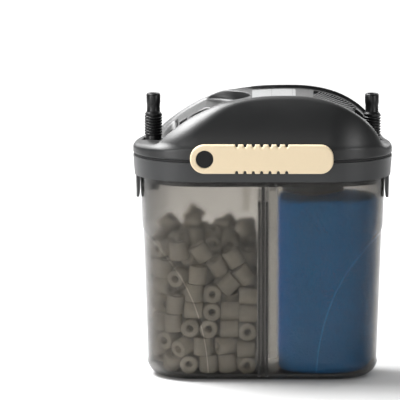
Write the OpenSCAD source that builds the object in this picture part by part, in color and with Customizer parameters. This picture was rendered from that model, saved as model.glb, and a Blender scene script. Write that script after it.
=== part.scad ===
// Small canister filter for an aquarium. A smoked tub holds two chambers of media on each side
// of a partition, and a pump head with two hose nozzles closes it. A lever on the front and one
// on the back lock the head on.
// The origin is the middle of the underside. X runs along the length, the front faces -Y.

/* [Tub] */
// Length over the round ends, just under the collar
tub_l = 171; // [150:1:206]
// Depth from front to back, just under the collar
tub_d = 78; // [72:1:94]
// Height from the underside to the collar's step
tub_h = 109.5; // [91:0.5:132]
// How far the wall draws in all round, from the collar down to the floor
tub_draft = 3; // [1:0.5:4]
// Height of the collar above its step
collar_h = 37.5; // [34:0.5:44]
// How far the collar stands out from the wall below it
collar_step = 1.5; // [0.5:0.25:2.5]
// How far the collar flares from its step to the rim
collar_flare = 0.5; // [0:0.25:1]
// Thickness of the tub's wall
wall = 2.4; // [1.8:0.2:3]
// Thickness of the tub's floor
floor_t = 3; // [2:0.5:4]
// Outer radius of the edge round the floor
edge_r = 12; // [8:1:15]

/* [Partition and media] */
// Thickness of the partition
partition_t = 2.4; // [1.6:0.2:3]
// Where the partition stands along the length
partition_x = 0.5; // [-6:0.5:8]
// Thickness of one rail rib
rib_t = 1.7; // [1.2:0.1:2.4]
// How far the rail ribs stand in from the wall at the floor
rib_deep = 2.4; // [1.5:0.1:3.5]
// Width of a window at the foot of the partition
window_w = 5; // [3:0.5:7]
// Thickness of the floss pad
floss_t = 6.8; // [4:0.2:10]
// Height of the floss pad's foot above the underside
floss_foot = 15.7; // [12:0.1:30]
// Outer diameter and length of one ceramic ring
ring_d = 12.7; // [10:0.1:14]
// Bore of one ceramic ring
ring_bore = 5; // [3:0.5:7]
// Headroom left over the pile of rings, under the head's skirt
ring_headroom = 8; // [6:1:60]

/* [Head] */
// Gap between the collar and the lock band round it
band_gap = 2; // [1.6:0.2:3]
// Thickness of the lock band
band_wall = 3; // [2.4:0.2:4]
// How far the lock band reaches down over the rim
band_drop = 1.6; // [0.8:0.2:4]
// Height of the lock band
band_h = 13.8; // [12:0.2:18]
// How far the band's outer face draws in towards its lower edge
band_draw = 1; // [0:0.25:1.5]
// Width of the tongue at each end
tongue_w = 18.5; // [12:0.5:26]
// How far the tongues hang below the band
tongue_h = 17; // [10:0.5:24]
// Height of the cover from its foot to its top
cover_h = 44.2; // [40:0.2:52]
// Thickness of the cover
skin = 2.6; // [2:0.2:3]
// Height of the ledge at each end, above the cover's foot
ledge_h = 7.8; // [6:0.2:9]
// Radius of the cheeks' curve from foot to ridge
cheek_r = 72.6; // [66:0.2:90]
// Where the cover is highest along the length
apex_x = 22; // [14:1:28]
// Air left on the ledge beyond the foot of the steep end
nose_in = 6.5; // [4:0.5:12]
// Power of the curve of the long slope: higher keeps the top flat for longer
slope_power = 2.8; // [2:0.1:3.4]

/* [Grip and vents] */
// Distance from the inlet nozzle's axis to the grip's lip
lip_in = 18; // [16:0.5:24]
// Radius of the dish in the cover's top
dish_r = 34; // [28:1:38]
// Distance from the grip's lip to the dish's lowest point
dish_in = 22; // [18:1:26]
// Thickness of the grip bar at the dish's lowest point
grip_t = 7; // [5:0.5:9]
// Width of the hand space under the grip
hand_w = 38; // [30:1:40]
// Width of the finger hole
finger_w = 16; // [12:0.5:20]
// Length of the finger hole, front to back
finger_l = 22; // [18:0.5:26]
// Number of vent slots
vent_n = 13; // [6:1:14]
// Distance from slot to slot
vent_pitch = 2; // [1.8:0.1:2.4]
// Width of one slot
vent_w = 0.9; // [0.6:0.1:1.1]
// Lean of the slots from straight across
vent_lean = 10; // [0:1:15]

/* [Nozzles] */
// Distance from each nozzle's axis to the outside of the lock band
nozzle_in = 14.5; // [13.5:0.5:16.5]
// Outer diameter of the hose stub
stub_d = 9.5; // [8:0.5:12]
// Length of the hose stub
stub_l = 14; // [10:0.5:18]
// Diameter over the thread's crests
thread_d = 13.8; // [12.4:0.2:15]
// Diameter at the thread's root
thread_root_d = 11.4; // [11:0.2:12]
// Number of thread turns
thread_n = 6; // [4:1:8]
// Distance from thread to thread
thread_pitch = 2.5; // [2:0.1:3]
// Bore through the nozzle
nozzle_bore = 6.2; // [5:0.2:7]
// Height of the nozzle's top above the cover's foot
nozzle_h = 42; // [40:0.5:46]

/* [Levers] */
// Length of a lever
lever_l = 101.6; // [90:0.2:116]
// Height of a lever
lever_w = 20.8; // [18:0.4:24]
// Thickness of a lever
lever_t = 4; // [3:0.5:5]
// Air between the lock band and the back of a lever
lever_gap = 2; // [1.6:0.2:3]
// Number of grip notches along each edge of a lever
notch_n = 7; // [3:1:9]
// Distance from notch to notch
notch_pitch = 5.9; // [4.5:0.1:7]
// Width of a notch
notch_w = 2.1; // [1.5:0.1:3]
// Depth of a notch
notch_deep = 2; // [1:0.1:3]
// Diameter of the pivot pin's round head
pin_head_d = 12.1; // [10:0.1:14]
// Diameter of the pivot pin
pin_d = 7; // [6:0.2:8]
// Height of the pivot above the foot of the cover
pivot_up = 1.7; // [0:0.1:3]
// Distance from the pivot to the near end of its lever
pivot_in = 10.4; // [9.5:0.1:12]
// Distance from the pivot to the end of the straight side
pivot_from_bend = 5.5; // [4:0.5:12]

/* [Pump] */
// Air between the floss pad and the pump chamber
pump_clear = 3; // [1:0.5:6]
// Inner diameter of the rotor's well
well_d = 17; // [15:0.5:18]
// Height of the rotor's well above the deck
well_h = 36; // [32:0.5:40]
// Diameter of the impeller
impeller_d = 28; // [22:1:32]
// Number of impeller blades
blade_n = 6; // [3:1:8]
// Diameter of the rotor's shaft
shaft_d = 3; // [2.5:0.5:4]
// Outer diameter of the pump chamber
chamber_d = 44; // [38:1:46]
// Thickness of the stack of motor laminations
stack_t = 18; // [14:1:22]
// Width of one leg of the laminations
leg_w = 10; // [8:0.5:12]
// Thickness of the winding on each side of its leg
winding_t = 3; // [2:0.5:4]

/* [Clearances] */
// Air between parts that are lifted apart
lift_gap = 0.6; // [0.5:0.05:0.8]
// Air between a seal and what it presses on
seal_gap = 0.3; // [0.2:0.05:0.4]
// Air between parts that are fixed to each other
seat_gap = 0.2; // [0.1:0.05:0.3]
// Air round a turning shaft
turn_gap = 0.08; // [0.05:0.01:0.1]

/* [Hidden] */
$fn = 96;

// A little more than any cut needs, so that it runs out of the solid
over = 1;
big = 400;

// Air between pieces that slip into each other, and between those that are pushed home
slip = 0.1;
hair = 0.05;

// Tub
span = (tub_l - tub_d) / 2;
tub_r = tub_d / 2;
foot_r = tub_r - tub_draft;
collar_r = tub_r + collar_step;
rim_r = collar_r + collar_flare;
rim_z = tub_h + collar_h;
mouth_r = collar_r - wall;
mouth_z = tub_h + wall;

// Lock prongs on the rim, and the cam between them
cam_reach = 5;
cam_half_w = 3.1;
prong_gap = 0.3;
prong_w = 3.2;
prong_y0 = mouth_r + 0.5;
prong_y1 = rim_r + 1.3;
prong_in = cam_reach + prong_gap;
prong_out = prong_in + prong_w;

// Hanger socket on the back of the collar
hanger_w = 24;
hanger_h = 30;
hanger_slot = 3;
hanger_lip = 3;
hanger_t = 2;
hanger_z = tub_h + 3;

// Partition and media
media_z = rim_z - 15;
rail_top = media_z - 2;
rail_y = foot_r - wall - rib_deep;
rail_gap = 0.6;
part_gap = 0.5;
part_foot = floor_t + seat_gap;
part_top = rim_z - 4;
window_n = 7;
window_z = 6;
window_h = 11;
floss_x = partition_x + partition_t / 2 + rail_gap + rib_t + seat_gap;
media_gap = 0.6;
floss_y = foot_r - wall - media_gap;
floss_h = media_z + 6.7 - floss_foot;
sponge_x = floss_x + floss_t + seat_gap;
sponge_top = rail_top + 0.8;
ring_gap = 0.3;
ring_step = ring_d + ring_gap;
ring_wall_r = foot_r - wall - ring_gap;
ring_right = partition_x - partition_t / 2 - rail_gap - rib_t - ring_gap;
ring_cols = floor((ring_right + span + ring_wall_r) / ring_step);
ring_rows = floor(2 * ring_wall_r / ring_step);
ring_layers = floor((media_z - ring_headroom - floor_t) / ring_step);

// Head base
deck_z = rim_z + seat_gap;
deck_t = 3;
deck_top = deck_z + deck_t;
skirt_t = 3;
skirt_z = rim_z - 6;
skirt_r = mouth_r - lift_gap;
seal_r = mouth_r - seal_gap;
seal_deep = 1.2;
seal_h = 2.6;
seal_z = skirt_z + 1.6;
band_in_r = rim_r + band_gap;
band_r = band_in_r + band_wall;
band_z = rim_z - band_drop;
band_top = band_z + band_h;
lip_t = 2.3;
lip_in_r = mouth_r + 1.7;
rim_wall_t = 2.6;
base_r = band_in_r - 0.3;
base_top = band_top - lip_t - seat_gap;
gasket_t = 1.5;
gasket_z = band_top + 0.15;
foot_z = gasket_z + gasket_t + 0.15;
gasket_in_r = band_in_r - 1.8;
gasket_out_r = band_r - 0.6;

// Cover
function cheek_at(z) = band_r - cheek_r + sqrt(pow(cheek_r, 2) - pow(z - foot_z, 2));
ledge_z = foot_z + ledge_h;
ledge_edge = 4.5;
apex_z = foot_z + cover_h;
nose_l = span + band_r - nose_in - apex_x;
nozzle_x = span + band_r - nozzle_in;
slope_l = nozzle_x + apex_x - 0.7;
slope_drop = cover_h - ledge_h;
lip_x = lip_in - nozzle_x;
dish_x = lip_x + dish_in;
profile_steps = 12;
cheek_steps = 6;
valley_r = 24;
notch_half = 13;
notch_from = nozzle_x - 12;
dish_z = apex_z - 19.7;
hand_top = dish_z - grip_t;
hand_end = dish_x + 4;
finger_x = dish_x - 5;
finger_y = -12;
nozzle_clear = 8;
screw_x = span + 13.5;
screw_y = 25.5;
screw_d = 3;
screw_l = 15;
screw_head_d = 6;
screw_head_t = 1.5;
screw_way_d = 3.4;
screw_sink_d = 6.4;
screw_sink = 1.6;
pilot_d = 3.2;
boss_r = 4;
boss_drop = 12;
vent_x = apex_x + 16;
vent_half = 23;
label_x0 = dish_x + dish_r - 3.5;
label_l = 31;
label_w = 42;
label_t = 0.3;
label_gap = 0.05;
grommet_x = span + 15.5;
grommet_z = foot_z + 15;
grommet_r = 5.5;
grommet_neck = 4;
grommet_ring = grommet_r + 1.5;
grommet_bore = 2.8;
grommet_y = sqrt(pow(cheek_at(grommet_z), 2) - pow(grommet_x - span, 2)) + 3;
grommet_lip = 1.6;
grommet_l = 10;

// Nozzles
nozzle_top = foot_z + nozzle_h;
thread_top = nozzle_top - stub_l;
thread_z = thread_top - thread_n * thread_pitch;
flange_r = 7.6;
flange_t = 3;
seal_ring_t = 1.2;
flange_z = deck_top + hair + seal_ring_t + hair;
spigot_r = 4.6;
duct_r = 4;

// Levers
boss_disc_r = 7.5;
boss_gap = 0.3;
pivot_z = foot_z + pivot_up;
pivot_x = span - pivot_from_bend;
lever_back = band_r + lever_gap;
lever_face = lever_back + lever_t;
pin_face = lever_face - 0.4;
pin_head_t = 1.6;
boss_back = band_in_r - 0.1;
cam_y0 = prong_y0 + 0.4;
cam_y1 = prong_y1 + 0.1;
pin_end_r = 2;
slot_half = prong_out + 1.1;
slot_y = prong_y0 - 0.4;

// Pump
pump_x = floss_x + floss_t + pump_clear + chamber_d / 2;
chamber_wall = 2;
chamber_h = 13.4;
chamber_top = deck_z - 0.1;
chamber_z = chamber_top - chamber_h;
intake_r = 7;
well_wall = 1.7;
magnet_gap = 0.6;
magnet_z = deck_z + 0.4;
magnet_top = deck_top + well_h - 8.2;
bush_r = 3.2;
bush_h = 4;
blade_t = 1.6;
hub_r = 4.6;
impeller_z = chamber_z + chamber_wall + 1.6;
impeller_top = deck_z - 1.4;
strainer_r = 12;
strainer_t = 2;
duct_z = chamber_top - 5.6;
core_z = deck_top + 8;
pole_r = well_d / 2 + well_wall + 0.4;
core_half = pole_r + 11.4;
core_x0 = pump_x - 34;
core_x1 = pump_x + pole_r;
pole_x = pump_x - pole_r;
pole_slot = 2.4;
bobbin_t = 1;
bobbin_x0 = core_x0 + leg_w + 0.2;
bobbin_l = pole_x - bobbin_x0 - 0.2;

// A closed solid with round ends, from a half profile drawn as radius and height
module round_ended(half = span) {
    for (side = [-1, 1]) translate([side * half, 0, 0]) rotate_extrude() children();
    rotate([90, 0, 90]) linear_extrude(2 * half, center = true) {
        children();
        mirror([1, 0]) children();
    }
}

// A flat-ended block of the same plan, and a ring of it
module round_block(r, z0, z1) {
    round_ended() translate([0, z0]) square([r, z1 - z0]);
}

module round_ring(r0, r1, z0, z1) {
    difference() {
        round_block(r1, z0, z1);
        round_block(r0, z0 - over, z1 + over);
    }
}

// Turns what follows to the front (side = -1) or to the back (side = 1)
module on_side(side) {
    rotate([0, 0, side < 0 ? 0 : 180]) children();
}

// A cylinder along Y, from y0 to y1 measured outwards at the front
module across(x, z, y0, y1, r) {
    translate([x, -y0, z]) rotate([90, 0, 0]) cylinder(h = y1 - y0, r = r);
}

// The head's room for the tub's prongs and for the cam
module prong_room(z0, z1) {
    for (side = [-1, 1]) on_side(side)
        translate([-pivot_x - slot_half, -band_in_r, z0])
            cube([2 * slot_half, band_in_r - slot_y, z1 - z0]);
}

// ---- Tub and what it holds ----

module tub_outline() {
    polygon([
        [0, 0], [foot_r - edge_r, 0], [foot_r, edge_r], [tub_r, tub_h],
        [collar_r, tub_h], [rim_r, rim_z], [0, rim_z]
    ]);
    translate([foot_r - edge_r, edge_r]) circle(edge_r);
}

module tub_hollow() {
    bend = edge_r - wall;
    polygon([
        [0, floor_t], [foot_r - edge_r, floor_t], [foot_r - wall, floor_t + bend],
        [tub_r - wall, tub_h], [mouth_r, mouth_z], [mouth_r, rim_z + over], [0, rim_z + over]
    ]);
    translate([foot_r - edge_r, floor_t + bend]) circle(bend);
}

module rails() {
    intersection() {
        round_ended() tub_outline();
        for (side = [-1, 1], back = [-1, 1])
            translate([
                partition_x + side * (partition_t / 2 + rail_gap + rib_t / 2),
                back * (rail_y + tub_r) / 2,
                rail_top / 2 + over
            ])
                cube([rib_t, tub_r - rail_y, rail_top - 2 * over], center = true);
    }
}

module prongs() {
    for (side = [-1, 1], edge = [-1, 1]) on_side(side)
        translate([
            edge < 0 ? -pivot_x - prong_out : -pivot_x + prong_in,
            -prong_y1,
            rim_z - over
        ])
            cube([prong_w, prong_y1 - prong_y0, pivot_z + 4 - rim_z + over]);
}

module hanger_socket() {
    back = collar_r - over;
    out = rim_r + hanger_slot + hanger_t;
    difference() {
        translate([-hanger_w / 2 - hanger_t, back, hanger_z])
            cube([hanger_w + 2 * hanger_t, out - back, hanger_h]);
        translate([-hanger_w / 2, rim_r, hanger_z - over])
            cube([hanger_w, hanger_slot, hanger_h + 2 * over]);
        translate([-hanger_w / 2 + hanger_lip, rim_r, hanger_z - over])
            cube([hanger_w - 2 * hanger_lip, big, hanger_h + 2 * over]);
    }
}

module container() {
    color([0.36, 0.36, 0.37, 0.5]) difference() {
        union() {
            difference() {
                round_ended() tub_outline();
                round_ended() tub_hollow();
            }
            rails();
            prongs();
            hanger_socket();
        }
    }
}

// Outline of the partition, drawn as depth and height
module partition_outline() {
    bend = edge_r - wall;
    low = foot_r - edge_r;
    wide = foot_r - wall - part_gap;
    top = tub_r - wall - part_gap;
    neck = skirt_r - skirt_t - media_gap;
    polygon([
        [-low, part_foot], [low, part_foot], [wide, part_foot + bend], [top, tub_h],
        [top, rail_top], [neck, rail_top], [neck, part_top],
        [-neck, part_top], [-neck, rail_top], [-top, rail_top],
        [-top, tub_h], [-wide, part_foot + bend]
    ]);
}

module partition() {
    step = 2 * (foot_r - edge_r) / window_n;
    color([0.22, 0.22, 0.23]) translate([partition_x, 0, 0]) difference() {
        rotate([90, 0, 90]) linear_extrude(partition_t, center = true) partition_outline();
        for (i = [0 : window_n - 1])
            translate([0, (i - (window_n - 1) / 2) * step, window_z + window_h / 2])
                cube([partition_t + over, window_w, window_h], center = true);
    }
}

// Does a cell at x, y stand inside the wall? The lowest layer keeps off the rounded edge
function fits(x, y, low) =
    norm([max(abs(x) - span, 0) + ring_step / 2 * (abs(x) > span ? 1 : 0), abs(y) + ring_step / 2])
        < ring_wall_r - (low ? wall + 2 : 0) + (abs(x) > span ? 0 : 1);

// One of three ways for a ring to lie, which differs from cell to cell
function lie(i, j, k) = [[0, 0, 0], [90, 0, 0], [0, 90, 0]][(i * 7 + j * 5 + k * 3 + i * j) % 3];

module ceramic_rings() {
    color([0.62, 0.6, 0.56])
    for (k = [0 : ring_layers - 1], i = [0 : ring_cols - 1], j = [0 : ring_rows - 1]) {
        x = ring_right - (i + 0.5) * ring_step;
        y = (j - (ring_rows - 1) / 2) * ring_step;
        z = floor_t + ring_gap + (k + 0.5) * ring_step;
        if (fits(x, y, k == 0)) translate([x, y, z]) rotate(lie(i, j, k)) difference() {
            cylinder(h = ring_d, d = ring_d, center = true);
            cylinder(h = ring_d + over, d = ring_bore, center = true);
        }
    }
}

module sponge_outline() {
    bend = edge_r - wall;
    side = wall + media_gap;
    polygon([
        [0, part_foot], [foot_r - edge_r, part_foot], [foot_r - side, part_foot + bend],
        [tub_r - side, tub_h], [tub_r - side, sponge_top], [0, sponge_top]
    ]);
}

module sponge_block() {
    color([0.13, 0.33, 0.58]) intersection() {
        round_ended() sponge_outline();
        translate([sponge_x, -big / 2, 0]) cube([big, big, big]);
    }
}

module floss_pad() {
    corner = 3;
    color([0.86, 0.86, 0.84]) translate([floss_x, 0, floss_foot]) rotate([90, 0, 90])
        linear_extrude(floss_t) {
            translate([-floss_y, corner]) square([2 * floss_y, floss_h - corner]);
            translate([-floss_y + corner, 0]) square([2 * (floss_y - corner), floss_h]);
            for (side = [-1, 1]) translate([side * (floss_y - corner), corner]) circle(corner);
        }
}

// ---- Head ----

module head_base() {
    pad = 4;
    color([0.15, 0.155, 0.16]) difference() {
        union() {
            round_block(base_r, deck_z, deck_top);
            round_ring(base_r - rim_wall_t, base_r, deck_z, base_top);
            round_ring(skirt_r - skirt_t, skirt_r, skirt_z, deck_z + over);
            translate([pump_x, 0, deck_z]) cylinder(h = well_h + deck_t, d = well_d + 2 * well_wall);
            for (x = [core_x0 + 2, pump_x - pad / 2], side = [-1, 1])
                translate([x, side * (core_half - leg_w / 2) - pad / 2, deck_top - over])
                    cube([pad, pad, core_z - deck_top + over - seat_gap]);
        }
        round_ring(skirt_r - seal_deep - slip, skirt_r + over, seal_z - slip, seal_z + seal_h + slip);
        translate([pump_x, 0, deck_z - over]) cylinder(h = well_h + deck_t - well_wall + over, d = well_d);
        for (side = [-1, 1]) translate([side * nozzle_x, 0, 0]) {
            translate([0, 0, deck_z - over]) cylinder(h = deck_t + 2 * over, r = spigot_r + slip);
            translate([0, 0, skirt_z - over]) cylinder(h = deck_z - skirt_z + over, r = duct_r + seat_gap);
        }
        for (x = [-screw_x, screw_x], y = [-screw_y, screw_y]) translate([x, y, deck_z - over]) {
            cylinder(h = deck_t + 2 * over, d = screw_way_d);
            cylinder(h = screw_sink + over, d = screw_sink_d);
        }
        prong_room(deck_z - over, base_top + over);
    }
}

module main_seal() {
    color([0.1, 0.1, 0.1]) round_ring(skirt_r - seal_deep, seal_r, seal_z, seal_z + seal_h);
}

module tongue(side) {
    corner = tongue_w / 3;
    draw = 0.6;
    out_r = band_r - band_draw - draw;
    in_r = rim_r + 1;
    intersection() {
        difference() {
            round_ended() polygon([
                [0, band_z - tongue_h], [out_r - draw, band_z - tongue_h],
                [out_r, band_z + over], [0, band_z + over]
            ]);
            round_block(in_r, band_z - tongue_h - over, band_z + 2 * over);
        }
        rotate([90, 0, 90]) translate([0, 0, side < 0 ? -big : 0]) linear_extrude(big) {
            translate([-tongue_w / 2, band_z - tongue_h + corner]) square([tongue_w, tongue_h]);
            translate([-tongue_w / 2 + corner, band_z - tongue_h])
                square([tongue_w - 2 * corner, corner + over]);
            for (edge = [-1, 1])
                translate([edge * (tongue_w / 2 - corner), band_z - tongue_h + corner]) circle(corner);
        }
    }
}

module lock_band() {
    color([0.2, 0.205, 0.21]) difference() {
        union() {
            difference() {
                round_ended() polygon([
                    [0, band_z], [band_r - band_draw, band_z], [band_r, band_top], [0, band_top]
                ]);
                round_block(band_in_r, band_z - over, band_top - lip_t);
                round_block(lip_in_r, band_z - over, band_top + over);
            }
            for (side = [-1, 1]) {
                tongue(side);
                on_side(side) across(-pivot_x, pivot_z, boss_back, lever_back - boss_gap, boss_disc_r);
            }
        }
        prong_room(base_top, band_top + over);
        for (side = [-1, 1]) on_side(side)
            across(-pivot_x, pivot_z, slot_y, lever_back + over, pin_d / 2 + turn_gap);
    }
}

module cover_gasket() {
    color([0.12, 0.12, 0.125]) difference() {
        round_ring(gasket_in_r, gasket_out_r, gasket_z, gasket_z + gasket_t);
        prong_room(gasket_z - over, gasket_z + gasket_t + over);
        for (side = [-1, 1]) on_side(side)
            across(-pivot_x, pivot_z, slot_y, lever_back + over, boss_disc_r + boss_gap);
    }
}

// Height of the cover's top along its length; inset gives the inner face
function long_slope(x) = slope_drop * pow((apex_x - x) / slope_l, slope_power);
function nose_arc(x, inset) =
    (cover_h - inset) * sqrt(max(0, 1 - pow((x - apex_x) / (nose_l - inset), 2)));

module dome_side(inset) {
    low = deck_top;
    polygon(concat(
        [[apex_x + nose_l - inset, low], [apex_x - slope_l + 2 * inset, low]],
        [for (i = [0 : profile_steps])
            let (x = apex_x - (slope_l - 2 * inset) * (1 - i / profile_steps))
            [x, apex_z - inset - long_slope(x)]],
        [for (i = [1 : profile_steps])
            let (x = apex_x + (nose_l - inset) * sin(90 * i / profile_steps))
            [x, foot_z + nose_arc(x, inset)]]
    ));
}

// Half of the cover across its length, from the foot to above the ridge
module cheek(inset, foot) {
    reach = cheek_r - inset;
    top_angle = asin((cover_h + 4) / cheek_r);
    rise = [for (i = [0 : cheek_steps]) i * top_angle / cheek_steps];
    polygon(concat(
        [[0, foot]],
        foot < foot_z ? [[band_r - inset, foot]] : [],
        [for (a = rise) [band_r - cheek_r + reach * cos(a), foot_z + reach * sin(a)]],
        [[0, foot_z + reach * sin(top_angle)]]
    ));
}

module dome(inset, foot) {
    intersection() {
        rotate([90, 0, 0]) linear_extrude(big, center = true) dome_side(inset);
        round_ended() cheek(inset, foot);
    }
}

module ledge(inset, foot) {
    top = ledge_z - inset;
    out = band_r - inset;
    bend = ledge_edge - inset;
    round_ended() {
        translate([0, foot]) square([out - bend, top - foot]);
        translate([0, foot]) square([out, top - bend - foot]);
        intersection() {
            translate([out - bend, top - bend]) circle(bend);
            translate([0, foot]) square([out, top - foot]);
        }
    }
}

module dish(grow) {
    translate([dish_x, 0, dish_z + dish_r]) sphere(r = dish_r + grow);
}

// The valley behind the inlet nozzle, the notch round the outlet nozzle and the hand space
module hand_space() {
    translate([-big, 0, ledge_z + valley_r]) rotate([0, 90, 0]) cylinder(h = big + lip_x, r = valley_r);
    translate([-big, -valley_r, ledge_z + valley_r]) cube([big + lip_x, 2 * valley_r, big]);
    translate([lip_x - over, -hand_w / 2, ledge_z])
        cube([hand_end - lip_x + over, hand_w, hand_top - ledge_z]);
}

module outlet_notch() {
    translate([notch_from, 0, ledge_z + notch_half]) rotate([0, 90, 0]) cylinder(h = big, r = notch_half);
    translate([notch_from, -notch_half, ledge_z + notch_half]) cube([big, 2 * notch_half, big]);
}

module finger_hole() {
    reach = (finger_l - finger_w) / 2;
    translate([finger_x, finger_y, hand_top - over]) {
        for (side = [-1, 1]) translate([0, side * reach, 0]) cylinder(h = big, d = finger_w);
        translate([-finger_w / 2, -reach, 0]) cube([finger_w, 2 * reach, big]);
    }
}

// Solid stretches inside the cover, round the hand space and the notch
module inner_blocks() {
    half = hand_w / 2 + skin;
    translate([-big, -half, ledge_z - skin]) cube([big + hand_end + skin, 2 * half, big]);
    translate([notch_from - skin, -notch_half - skin, ledge_z - skin])
        cube([big, 2 * (notch_half + skin), big]);
    dish(skin);
}

module vents() {
    for (i = [0 : vent_n - 1])
        translate([vent_x + i * vent_pitch, 0, foot_z + ledge_h]) rotate([0, 0, -vent_lean])
            translate([-vent_w / 2, -vent_half, 0]) cube([vent_w, 2 * vent_half, big]);
}

module head_cover() {
    color([0.17, 0.175, 0.18]) difference() {
        union() {
            difference() {
                union() {
                    ledge(0, foot_z);
                    dome(0, foot_z);
                }
                difference() {
                    union() {
                        ledge(skin, foot_z - over);
                        dome(skin, foot_z - over);
                    }
                    inner_blocks();
                }
            }
            intersection() {
                dome(0, foot_z - boss_drop);
                for (x = [-screw_x, screw_x], y = [-screw_y, screw_y])
                    translate([x, y, deck_top + seat_gap]) cylinder(h = cover_h + boss_drop, r = boss_r);
            }
            translate([grommet_x, grommet_y, grommet_z]) rotate([90, 0, 0])
                cylinder(h = grommet_l, r = grommet_ring);
        }
        hand_space();
        outlet_notch();
        dish(0);
        finger_hole();
        vents();
        for (side = [-1, 1]) {
            translate([side * nozzle_x, 0, foot_z - over]) cylinder(h = 2 * ledge_h, r = nozzle_clear);
            on_side(side) across(-pivot_x, pivot_z, slot_y, big / 2, boss_disc_r + boss_gap);
        }
        for (x = [-screw_x, screw_x], y = [-screw_y, screw_y])
            translate([x, y, deck_top - over]) cylinder(h = screw_l, d = pilot_d);
        translate([grommet_x, grommet_y + over, grommet_z]) rotate([90, 0, 0])
            cylinder(h = grommet_l + 2 * over, r = grommet_neck + slip);
    }
}

module rating_label() {
    color([0.9, 0.9, 0.89]) intersection() {
        rotate([90, 0, 0]) linear_extrude(label_w, center = true) difference() {
            translate([0, label_t + label_gap]) dome_side(0);
            translate([0, label_gap]) dome_side(0);
        }
        translate([label_x0, -label_w / 2, ledge_z]) cube([label_l, label_w, big]);
    }
}

module cable_grommet() {
    color([0.09, 0.09, 0.09]) translate([grommet_x, grommet_y, grommet_z]) rotate([90, 0, 0]) difference() {
        union() {
            translate([0, 0, -grommet_lip - slip]) cylinder(h = grommet_lip, r = grommet_r);
            translate([0, 0, -grommet_lip - slip])
                cylinder(h = grommet_l + 2 * (grommet_lip + slip), r = grommet_neck);
            translate([0, 0, grommet_l + slip]) cylinder(h = grommet_lip, r = grommet_r);
        }
        translate([0, 0, -big / 2]) cylinder(h = big, r = grommet_bore);
    }
}

module cover_screws() {
    slot = [3.2, 0.7, 0.9];
    color([0.6, 0.6, 0.6])
    for (x = [-screw_x, screw_x], y = [-screw_y, screw_y]) translate([x, y, deck_z]) difference() {
        union() {
            cylinder(h = screw_head_t, d = screw_head_d);
            cylinder(h = screw_l, d = screw_d);
        }
        for (turn = [0, 90]) rotate([0, 0, turn])
            translate([-slot.x / 2, -slot.y / 2, -over]) cube([slot.x, slot.y, over + slot.z]);
    }
}

module nozzle() {
    crest = thread_d / 2;
    root = thread_root_d / 2;
    bore = nozzle_bore / 2;
    stub = stub_d / 2;
    ease = 0.8;
    ridge = [[crest, 0.35], [crest, 0.5], [root, 0.85]];
    rotate_extrude() polygon(concat(
        [
            [bore, deck_z], [spigot_r, deck_z], [spigot_r, flange_z], [flange_r, flange_z],
            [flange_r, flange_z + flange_t], [root, flange_z + flange_t], [root, thread_z]
        ],
        [for (i = [0 : thread_n - 1], p = ridge) [p[0], thread_z + (i + p[1]) * thread_pitch]],
        [[root, thread_top], [stub, thread_top + ease], [stub, nozzle_top - ease],
            [stub - ease, nozzle_top], [bore, nozzle_top]]
    ));
}

module inlet_nozzle() {
    color([0.07, 0.07, 0.075]) translate([-nozzle_x, 0, 0]) nozzle();
}

module outlet_nozzle() {
    color([0.07, 0.07, 0.075]) translate([nozzle_x, 0, 0]) nozzle();
}

module nozzle_seals() {
    color([0.1, 0.1, 0.1])
    for (side = [-1, 1]) translate([side * nozzle_x, 0, deck_top + hair]) difference() {
        cylinder(h = seal_ring_t, r = flange_r - 0.4);
        translate([0, 0, -over]) cylinder(h = seal_ring_t + 2 * over, r = spigot_r + slip);
    }
}

module inlet_spout() {
    drop = 13;
    color([0.16, 0.16, 0.165]) translate([-nozzle_x, 0, deck_z - slip - drop]) difference() {
        cylinder(h = drop, r = duct_r);
        translate([0, 0, -over]) cylinder(h = drop + 2 * over, d = nozzle_bore);
    }
}

module pump_chamber() {
    spoke = 1.6;
    hub = bush_r + 0.8;
    cup = 0.8;
    color([0.18, 0.18, 0.185]) translate([pump_x, 0, chamber_z]) difference() {
        cylinder(h = chamber_h, d = chamber_d);
        translate([0, 0, chamber_wall]) cylinder(h = chamber_h, d = chamber_d - 2 * chamber_wall);
        difference() {
            translate([0, 0, -over]) cylinder(h = chamber_wall + 2 * over, r = intake_r);
            translate([0, 0, -2 * over]) cylinder(h = chamber_wall + 4 * over, r = hub);
            for (turn = [0, 120, 240]) rotate([0, 0, turn]) translate([0, -spoke / 2, -2 * over])
                cube([intake_r + over, spoke, chamber_wall + 4 * over]);
        }
        translate([0, 0, cup]) cylinder(h = chamber_wall + over, r = bush_r + hair);
        translate([0, 0, duct_z - chamber_z]) rotate([0, 90, 0]) cylinder(h = chamber_d, d = nozzle_bore);
    }
}

module outlet_duct() {
    start = pump_x + chamber_d / 2 + seat_gap;
    l = nozzle_x - start;
    color([0.16, 0.16, 0.165]) difference() {
        union() {
            translate([start, 0, duct_z]) rotate([0, 90, 0]) cylinder(h = l, r = duct_r);
            translate([nozzle_x, 0, duct_z]) sphere(r = duct_r);
            translate([nozzle_x, 0, duct_z]) cylinder(h = deck_z - slip - duct_z, r = duct_r);
        }
        translate([start - over, 0, duct_z]) rotate([0, 90, 0]) cylinder(h = l + over, d = nozzle_bore);
        translate([nozzle_x, 0, duct_z]) sphere(d = nozzle_bore);
        translate([nozzle_x, 0, duct_z]) cylinder(h = deck_z - duct_z, d = nozzle_bore);
    }
}

module intake_strainer() {
    slots = 6;
    rim = 1.6;
    step = 2 * strainer_r / (slots + 1);
    color([0.2, 0.2, 0.205]) translate([pump_x, 0, chamber_z - strainer_t - slip]) difference() {
        cylinder(h = strainer_t, r = strainer_r);
        for (i = [0 : slots - 1]) {
            y = (i - (slots - 1) / 2) * step;
            half = sqrt(pow(strainer_r - rim, 2) - y * y);
            translate([-half, y - step / 4, -over]) cube([2 * half, step / 2, strainer_t + 2 * over]);
        }
    }
}

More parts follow.
